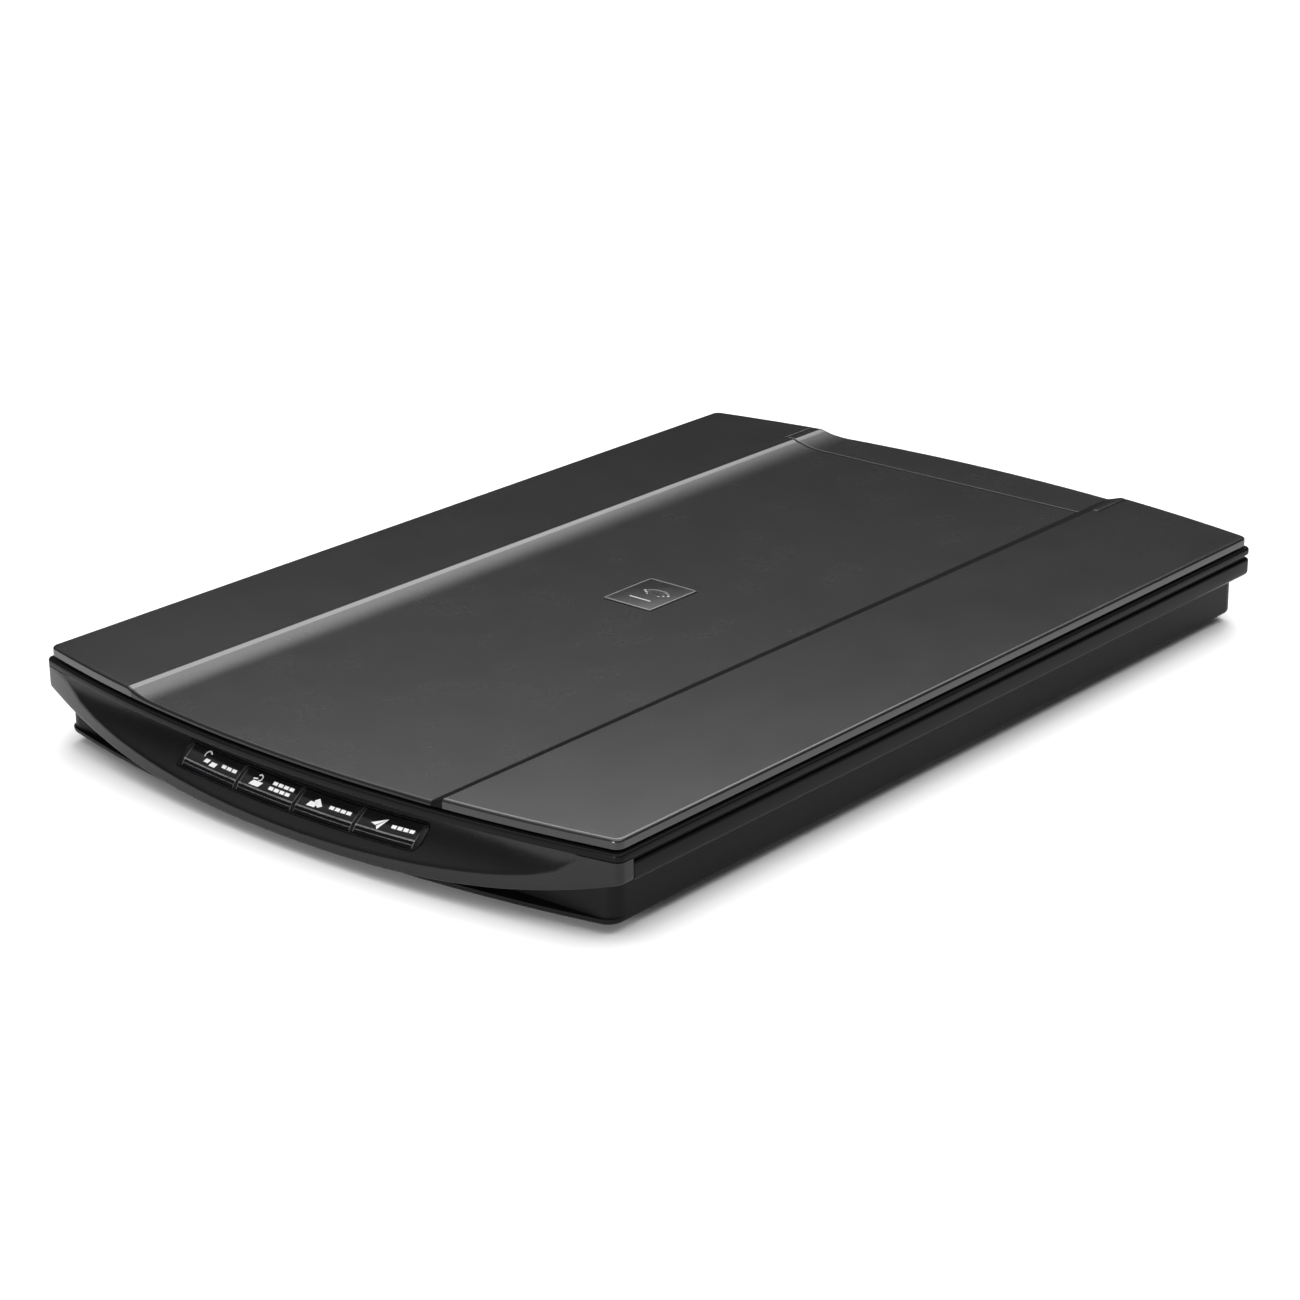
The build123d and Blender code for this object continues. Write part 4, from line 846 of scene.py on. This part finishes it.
def make_icon(number):
    draw, icon_x, words = BUTTON_MARKS[number]
    outlines = [[(x + icon_x, y) for x, y in outline] for outline in draw()]
    for x, y, count in words:
        outlines += dashes(x, y, count)
    centre = button_x(number)
    solids = [prism([(centre + x, y) for x, y in outline], on_key, -0.02, 0.035)
              for outline in outlines]
    link_piece(f"icon_{number}", mesh_mm(f"icon_{number}", *joined(*solids)), "white_strip",
               f"button_{number}_body", looks=[PRINT_WHITE])


# ------------------------------------------------------------------ lid and hinge cover

# distances in from an edge or a seam at which rows and columns lie
EDGE_STEPS = (0.0, 0.05, 0.16, 0.32, 0.55, 0.8, 1.0, 1.5, 2.2, 3.0)
SEAM_STEPS = (0.0, 0.05, 0.13, 0.25, 0.4, 0.8)


def front_to_rear(y, front, rear):
    """Value at y between those at the front and at the rear of the lid."""
    return front + (rear - front) * ((y + LID_CROWN) / (2 * LID_CROWN))


def mid_z(y):
    """Level of the lower middle zone, which falls a little towards the hinge."""
    return front_to_rear(y, MID_FRONT_Z, MID_REAR_Z)


def right_slope(y):
    """Width of the straight slope on the right of the middle zone."""
    return front_to_rear(y, *RIGHT_SLOPE)


def crown_z(x, y):
    """Top surface before its edges are rounded."""
    middle = mid_z(y)
    rise = LID_HIGH.z - middle
    if x <= LEFT_CREST_X or x >= RIGHT_CREST_X:
        return LID_HIGH.z
    if x < LEFT_FOOT_X:
        return middle + rise * ((LEFT_FOOT_X - x) / (LEFT_FOOT_X - LEFT_CREST_X)) ** 2
    foot = RIGHT_CREST_X - right_slope(y)
    if x > foot:
        return middle + rise * (x - foot) / (RIGHT_CREST_X - foot)
    return middle


SLOPE_HOLD_X = 48.0       # columns left of this stay straight
SLOPE_FOOT_COLUMN = 58.0


def lean_column(column, y):
    """Columns near the right slope follow its slanted foot."""
    if not SLOPE_HOLD_X < column < RIGHT_CREST_X:
        return column
    foot = RIGHT_CREST_X - right_slope(y)
    if column <= SLOPE_FOOT_COLUMN:
        share = (column - SLOPE_HOLD_X) / (SLOPE_FOOT_COLUMN - SLOPE_HOLD_X)
        return SLOPE_HOLD_X + share * (foot - SLOPE_HOLD_X)
    share = (column - SLOPE_FOOT_COLUMN) / (RIGHT_CREST_X - SLOPE_FOOT_COLUMN)
    return foot + share * (RIGHT_CREST_X - foot)


def zone_columns():
    """Columns that follow the crest, the hollow slope and the straight slope."""
    columns = [LEFT_CREST_X - 0.5, LEFT_CREST_X - 0.12, LEFT_CREST_X, LEFT_CREST_X + 0.15]
    columns += [LEFT_CREST_X + 1 + k for k in range(13)]
    columns += [LEFT_FOOT_X + 2, -54.0, -40.0, -26.0, -12.0, 0.0, 12.0, 26.0, 38.0, SLOPE_HOLD_X]
    columns += [56.0, 57.6, SLOPE_FOOT_COLUMN, 58.4, 60.0, 62.0, 63.7, RIGHT_CREST_X,
                RIGHT_CREST_X + 0.12, RIGHT_CREST_X + 0.5]
    return columns


def zone_of(centre):
    """Material number: the middle zone is finer and duller than the sides, and the step gets a
    near-black dull material that paints the shade line along it.
    """
    if centre.z < LID_LOW.z + 0.2 or not LEFT_CREST_X + 2 < centre.x < RIGHT_CREST_X:
        return 0
    return 1 if centre.x < RIGHT_CREST_X - right_slope(centre.y) - 0.05 else 2


def plate(columns, rows_at, kept, top_z, low_z):
    """Closed plate on a grid of columns and rows, walled where its cells end."""
    tops, lows = [], []
    for column in columns:
        rows = rows_at(column)
        for y in rows:
            x = lean_column(column, y)
            tops.append((x, y, top_z(x, y)))
            lows.append((x, y, low_z))
    depth = len(rows_at(columns[0]))
    below = len(tops)
    cells = {(i, j) for i in range(len(columns) - 1) for j in range(depth - 1) if kept(i, j)}
    faces = []
    for i, j in sorted(cells):
        a, b = i * depth + j, (i + 1) * depth + j
        faces.append((a, b, b + 1, a + 1))
        faces.append((a + below, a + 1 + below, b + 1 + below, b + below))
        for beside, p, q in (((i - 1, j), a, a + 1), ((i + 1, j), b, b + 1),
                             ((i, j - 1), a, b), ((i, j + 1), a + 1, b + 1)):
            if beside not in cells:
                faces.append((p, q, q + below, p + below))
    return tops + lows, faces


def lid_rows(column):
    """Rows of the lid across one column, close together at its edges."""
    reach = LID_PLAN.end(column)
    front = [-reach + step for step in EDGE_STEPS]
    seam = [CUTOUT_Y - step for step in reversed(SEAM_STEPS)]
    start, end = front[-1], seam[0]
    middle = [start + (end - start) * k / 24 for k in range(1, 24)]
    back = [reach - step for step in reversed(EDGE_STEPS)]
    past = [CUTOUT_Y + (back[0] - CUTOUT_Y) * k / 3 for k in range(1, 3)]
    return front + middle + seam + past + back


def lid_edge_round(x, y):
    return min(LID_ROUND, 0.6 * (crown_z(x, y) - LID_LOW.z))


def lid_top(x, y):
    """Top of the lid, rounded at its outline and at the hinge cut-out."""
    drop = round_drop(LID_PLAN.depth(x, y), lid_edge_round(x, y))
    left, right = CUTOUT_X
    gap = hypot(max(left - x, 0.0, x - right), max(CUTOUT_Y - y, 0.0))
    return crown_z(x, y) - max(drop, round_drop(gap, SEAM_ROUND))


def make_lid():
    """Lid with a lower middle zone and a cut-out for the hinge cover."""
    left, right = CUTOUT_X
    columns = [LID_LOW.x + step for step in EDGE_STEPS] + [-110.0, -96.0, -86.0]
    columns += [left - step for step in reversed(SEAM_STEPS)] + zone_columns()
    columns += [right + step for step in SEAM_STEPS] + [80.0, 94.0, 108.0]
    columns += [LID_HIGH.x - step for step in reversed(EDGE_STEPS)]
    seam_row = lid_rows(0.0).index(CUTOUT_Y)

    def kept(i, j):
        middle = (columns[i] + columns[i + 1]) / 2
        return j < seam_row or not left < middle < right

    lid = plate(columns, lid_rows, kept, lid_top, LID_LOW.z)
    mesh = mesh_mm("lid_shell", *lid, zone_of)
    # The third material paints the shade line on the step.
    link_piece("lid_shell", mesh, "lid_black", "lid", ["lid_cover"],
               [LOOKS["lid_black"], LID_MIDDLE, LID_STEP_PAINTED_SHADE], crease=24.0)


def cover_rows(column):
    reach = LID_PLAN.end(column)
    front = [COVER_LOW.y + step for step in SEAM_STEPS]
    back = [reach - step for step in reversed(EDGE_STEPS)]
    start, end = front[-1], back[0]
    return front + [start + (end - start) * k / 4 for k in range(1, 4)] + back


def cover_top(x, y):
    drop = round_drop(LID_PLAN.depth(x, y), lid_edge_round(x, y))
    rim = min(x - COVER_LOW.x, COVER_HIGH.x - x, y - COVER_LOW.y)
    return crown_z(x, y) - max(drop, round_drop(rim, SEAM_ROUND))


COVER_SKIRT_T = 1.6


def make_hinge_cover():
    """Cover that carries on the section of the lid, with its skirt and bosses."""
    columns = [COVER_LOW.x + step for step in SEAM_STEPS] + [-78.0]
    columns += [x for x in zone_columns() if x < RIGHT_CREST_X + 0.3]
    columns += [COVER_HIGH.x - step for step in reversed(SEAM_STEPS)]
    top = plate(columns, cover_rows, lambda i, j: True, cover_top, LID_LOW.z)
    inner = LID_PLAN.drawn_in(COVER_SKIRT_T)
    skirt = []
    for x in columns:
        x = max(COVER_LOW.x + 0.1, min(COVER_HIGH.x - 0.1, x))
        skirt.append([(x, LID_PLAN.end(x), LID_LOW.z + 0.2),
                      (x, LID_PLAN.end(x), COVER_LOW.z + 0.3),
                      (x, LID_PLAN.end(x) - 0.3, COVER_LOW.z),
                      (x, inner.end(x), COVER_LOW.z), (x, inner.end(x), LID_LOW.z + 0.2)])
    bosses = []
    for leg in HINGE_LEGS:
        low, high = box_mm(leg)
        wide, long = BOSS_MARGIN
        outline = rectangle(low.x - wide, high.x + wide, low.y - long, high.y + long)
        bosses.append(prism(outline, flat_place, COVER_LOW.z, LID_LOW.z + 0.1))
    solid = joined(top, through_sections(skirt), *bosses)
    # Its third material paints the shade line on the step.
    link_piece("hinge_cap", mesh_mm("hinge_cap", *solid, zone_of), "lid_black", "hinge_unit",
               ["hinge_cover"], [LOOKS["lid_black"], LID_MIDDLE, LID_STEP_PAINTED_SHADE], crease=24.0)


# ------------------------------------------------------------------ badge

def rounded_box(width, length, radius, centre):
    """Outline of a rectangle with round corners."""
    points = []
    for quarter, (sx, sy) in enumerate(((1, 1), (-1, 1), (-1, -1), (1, -1))):
        cx = centre[0] + sx * (width / 2 - radius)
        cy = centre[1] + sy * (length / 2 - radius)
        points += arc((cx, cy), radius, 90 * quarter, 90 * quarter + 90, 5)
    return points


BADGE_R = 0.6
FRAME_INSET = 1.1         # frame line of the badge, both sides together
FRAME_W = 0.16


def make_badge():
    """Square badge with a thin frame line and a motif."""
    centre = ((BADGE_LOW.x + BADGE_HIGH.x) / 2, (BADGE_LOW.y + BADGE_HIGH.y) / 2)
    width, length = BADGE_HIGH.x - BADGE_LOW.x, BADGE_HIGH.y - BADGE_LOW.y
    top = BADGE_HIGH.z
    rows = ((0.0, BADGE_LOW.z - 0.3), (0.0, top - 0.12), (0.05, top - 0.03), (0.16, top))
    sections = []
    for inset, z in rows:
        outline = rounded_box(width - 2 * inset, length - 2 * inset, BADGE_R, centre)
        sections.append([(x, y, z) for x, y in outline])
    mesh = mesh_mm("badge_plate", *through_sections(sections))
    link_piece("badge_plate", mesh, "gloss_black", "lid", ["lid_badge"], [BADGE_BLACK])
    frame_line = rounded_box(width - FRAME_INSET, length - FRAME_INSET, BADGE_R / 2, centre)
    marks = stroke(frame_line, FRAME_W, close=True)
    marks += badge_motif(centre)
    solids = [prism(outline, flat_place, top - 0.02, top + 0.03) for outline in marks]
    link_piece("badge_motif", mesh_mm("badge_motif", *joined(*solids)), "white_strip", "lid",
               looks=[PRINT_GREY])


def badge_motif(centre):
    """Plain motif: three bowed sheets over a short base line."""
    x, y = centre
    marks = []
    for k in range(3):
        radius = 3.0 + 1.7 * k
        marks += stroke(arc((x + 1.2, y - 1.8), radius, 35, 145, 12), 0.75)
    marks += stroke([(x - 4.2, y - 5.6), (x + 4.6, y - 5.6)], 0.6)
    return marks


# ------------------------------------------------------------------ ribbon cable and foam

def ribbon_sections(path, thickness):
    """Flat strip on a path of (y, z) points."""
    low, high = box_mm("flex_cable")
    sections = []
    for k, (y, z) in enumerate(path):
        before = path[max(k - 1, 0)]
        after = path[min(k + 1, len(path) - 1)]
        along = Vector((after[0] - before[0], after[1] - before[1])).normalized()
        off = Vector((-along.y, along.x)) * thickness / 2
        sections.append([(low.x, y - off.x, z - off.y), (high.x, y - off.x, z - off.y),
                         (high.x, y + off.x, z + off.y), (low.x, y + off.x, z + off.y)])
    return sections


RIBBON_T = 0.16
RIBBON_OVER_TRAY = 2.6    # upper run above the underside of the carriage tray
RIBBON_END = 1.5          # the run on the floor ends this far before the board
RUN_STEPS = 30
TURN_STEPS = 12


def make_ribbon():
    low, high = box_mm("flex_cable")
    board_low = box_mm("main_board")[0]
    floor_z = low.z + RIBBON_T
    upper_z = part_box("carriage_tray")[0][2] / MM + RIBBON_OVER_TRAY
    radius = (upper_z - floor_z) / 2
    turn_y = low.y + radius + 0.2
    run_end = board_low.y - RIBBON_END
    path = [(run_end + (turn_y - run_end) * k / RUN_STEPS, floor_z) for k in range(RUN_STEPS + 1)]
    for k in range(1, TURN_STEPS):
        angle = -pi / 2 - pi * k / TURN_STEPS
        path.append((turn_y + radius * cos(angle), floor_z + radius + radius * sin(angle)))
    path += [(turn_y + 3 * k, upper_z) for k in range(4)]
    loop = mesh_mm("ribbon_loop", *through_sections(ribbon_sections(path, RIBBON_T)))
    piece = link_piece("ribbon_loop", loop, "flex", None, ["flex_cable"])
    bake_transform(piece)
    tail = [(run_end - 0.1, floor_z)]
    tail += [(p.x, p.y) for p in bend((run_end - 0.1, floor_z, 0), (run_end + 0.6, floor_z, 0),
                                      (run_end + 0.7, high.z - 1.2, 0), 6)][1:]
    tail += [(run_end + 1.4, high.z - 0.2), (run_end + 2.6, high.z), (board_low.y + 8.6, high.z)]
    strip = mesh_mm("ribbon_tail", *through_sections(ribbon_sections(tail, RIBBON_T)))
    link_piece("ribbon_tail", strip, "flex", "base", ["flex_cable"])


def make_foam():
    """Foam backing with softly bulging sides, behind the white sheet."""
    low, high = box_mm("foam_pad")
    height = high.z - low.z
    centre = ((low.x + high.x) / 2, (low.y + high.y) / 2)
    rows = ((3.0, 0.0), (0.7, 0.0), (0.2, 0.16), (0.0, 0.45), (0.1, 0.75), (0.6, 0.97), (3.0, 1.0))
    sections = []
    for inset, share in rows:
        outline = rounded_box(high.x - low.x - 2 * inset, high.y - low.y - 2 * inset, 3.2, centre)
        sections.append([(x, y, low.z + height * share) for x, y in outline])
    piece = link_piece("pad_foam", mesh_mm("pad_foam", *through_sections(sections)), "foam", "lid",
                       ["foam_pad"], crease=70.0)


COIL_TURNS = 5
COIL_WIRE_R = 0.22


def loose_boxes(node):
    """Corners of each separate solid in a CAD node, in millimetres."""
    bm = bmesh.new()
    bm.from_mesh(NODES[node].data)
    bmesh.ops.remove_doubles(bm, verts=bm.verts, dist=0.000001)
    unseen = set(bm.verts)
    boxes = []
    for seed in bm.verts:
        if seed not in unseen:
            continue
        found, edge = [], [seed]
        unseen.discard(seed)
        while edge:
            vert = edge.pop()
            found.append(vert.co / MM)
            for link in vert.link_edges:
                other = link.other_vert(vert)
                if other in unseen:
                    unseen.discard(other)
                    edge.append(other)
        boxes.append([Vector(pick(p[i] for p in found) for i in range(3)) for pick in (min, max)])
    bm.free()
    return boxes


def coil(low, high):
    """Wound wire spring that fills a box."""
    centre = (low + high) / 2
    radius = (high.x - low.x) / 2 - COIL_WIRE_R
    height = high.z - low.z - 2 * COIL_WIRE_R
    steps = COIL_TURNS * 20
    sections = []
    for k in range(steps + 1):
        angle = 2 * pi * COIL_TURNS * k / steps
        out = Vector((cos(angle), sin(angle), 0.0))
        middle = Vector((centre.x, centre.y, low.z + COIL_WIRE_R + height * k / steps))
        middle += out * radius
        ring = arc((0.0, 0.0), COIL_WIRE_R, 0, 315, 7)
        sections.append([middle + out * u + Vector((0.0, 0.0, v)) for u, v in ring])
    return through_sections(sections)


def make_springs():
    """Springs under the sensor head, which in the real scanner shorten as it is pressed down."""
    coils = [coil(*corners) for corners in loose_boxes("head_springs")]
    mesh = mesh_mm("head_coils", *joined(*coils))
    piece = link_piece("head_coils", mesh, "spring_steel", "carriage", ["head_springs"],
                       crease=60.0)
    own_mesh(piece)


# ------------------------------------------------------------------ camera, floor and light

CAMERA_PLACE = (0.6836, -0.8003, 0.4121)
CAMERA_TARGET = (0.05881, -0.02844, 0.0325)
CAMERA_LENS = 90.24
CAMERA_SHIFT_X = -0.0825
CASE_MIDDLE = (0.0, 0.0, 0.03)
FRONT_CORNER = (0.11, -0.17, 0.02)
# upward share of a direction, and the tone of the surroundings there
WORLD_TONES = ((0.2, 0.01), (0.3, 0.025), (0.42, 0.1), (0.6, 0.55), (0.8, 1.0))


def look_at(obj, target):
    """Turn a camera or lamp towards a point."""
    obj.rotation_euler = (Vector(target) - obj.location).to_track_quat("-Z", "Y").to_euler()


def add_camera():
    data = bpy.data.cameras.new("camera")
    data.lens = CAMERA_LENS
    data.sensor_width = 36.0
    data.shift_x = CAMERA_SHIFT_X
    data.clip_start = 0.05
    camera = add_object("camera", data)
    camera.location = CAMERA_PLACE
    look_at(camera, CAMERA_TARGET)
    bpy.context.scene.camera = camera


def add_floor():
    mesh = bpy.data.meshes.new("floor")
    floor = add_object("floor", mesh)
    bm = bmesh.new()
    bmesh.ops.create_grid(bm, x_segments=4, y_segments=4, size=6.0)
    bm.to_mesh(mesh)
    bm.free()
    s = Shader("floor_paper", (0.93, 0.93, 0.93), 0.9)
    s.bsdf.inputs["Specular IOR Level"].default_value = 0.1
    s.tint(s.noise(3.0, 2.0), (0.92, 0.92, 0.92), (0.94, 0.94, 0.94))
    mesh.materials.append(s.material)
    floor.location.z = -0.0002


def add_area(name, location, target, size, power, size_y=None):
    data = bpy.data.lights.new(name, "AREA")
    data.shape = "RECTANGLE"
    data.size = size
    data.size_y = size_y or size
    data.energy = power
    lamp = add_object(name, data)
    lamp.location = location
    look_at(lamp, target)


def toward(azimuth, elevation, distance, centre=CASE_MIDDLE):
    """Point seen from the centre in a direction given in degrees."""
    flat = cos(radians(elevation)) * distance
    return (centre[0] + flat * cos(radians(azimuth)), centre[1] + flat * sin(radians(azimuth)),
            centre[2] + sin(radians(elevation)) * distance)


def add_world():
    world = bpy.data.worlds.new("studio")
    bpy.context.scene.world = world
    world.use_nodes = True
    nodes = world.node_tree.nodes
    links = world.node_tree.links
    back = nodes["Background"]
    where = nodes.new("ShaderNodeTexCoord")
    split = nodes.new("ShaderNodeSeparateXYZ")
    ramp = nodes.new("ShaderNodeValToRGB")
    links.new(where.outputs["Generated"], split.inputs["Vector"])
    links.new(split.outputs["Z"], ramp.inputs["Fac"])
    links.new(ramp.outputs["Color"], back.inputs["Color"])
    stops = ramp.color_ramp.elements
    for position, tone in WORLD_TONES[1:-1]:
        stops.new(position).color = (tone, tone, tone, 1.0)
    for stop, (position, tone) in ((stops[0], WORLD_TONES[0]), (stops[-1], WORLD_TONES[-1])):
        stop.position = position
        stop.color = (tone, tone, tone, 1.0)
    back.inputs["Strength"].default_value = 0.9


def add_studio():
    add_world()
    add_area("overhead", (0.1, 0.1, 1.6), (0, 0, 0), 2.2, 34.0)
    add_area("rear_softbox", toward(128, 41.5, 1.7), CASE_MIDDLE, 1.2, 11.0, 0.6)
    add_area("front_strip", toward(-84, 8, 1.1, FRONT_CORNER), FRONT_CORNER, 0.22, 11.0, 0.3)
    bpy.context.scene.view_settings.view_transform = "Standard"


add_camera()
add_floor()
add_studio()
dress_cad_nodes()
make_case_shell()
make_front_panel()
make_surround()
for button in BUTTONS:
    make_button(button)
    make_icon(button)
make_lid()
make_hinge_cover()
make_badge()
make_ribbon()
make_foam()
make_springs()
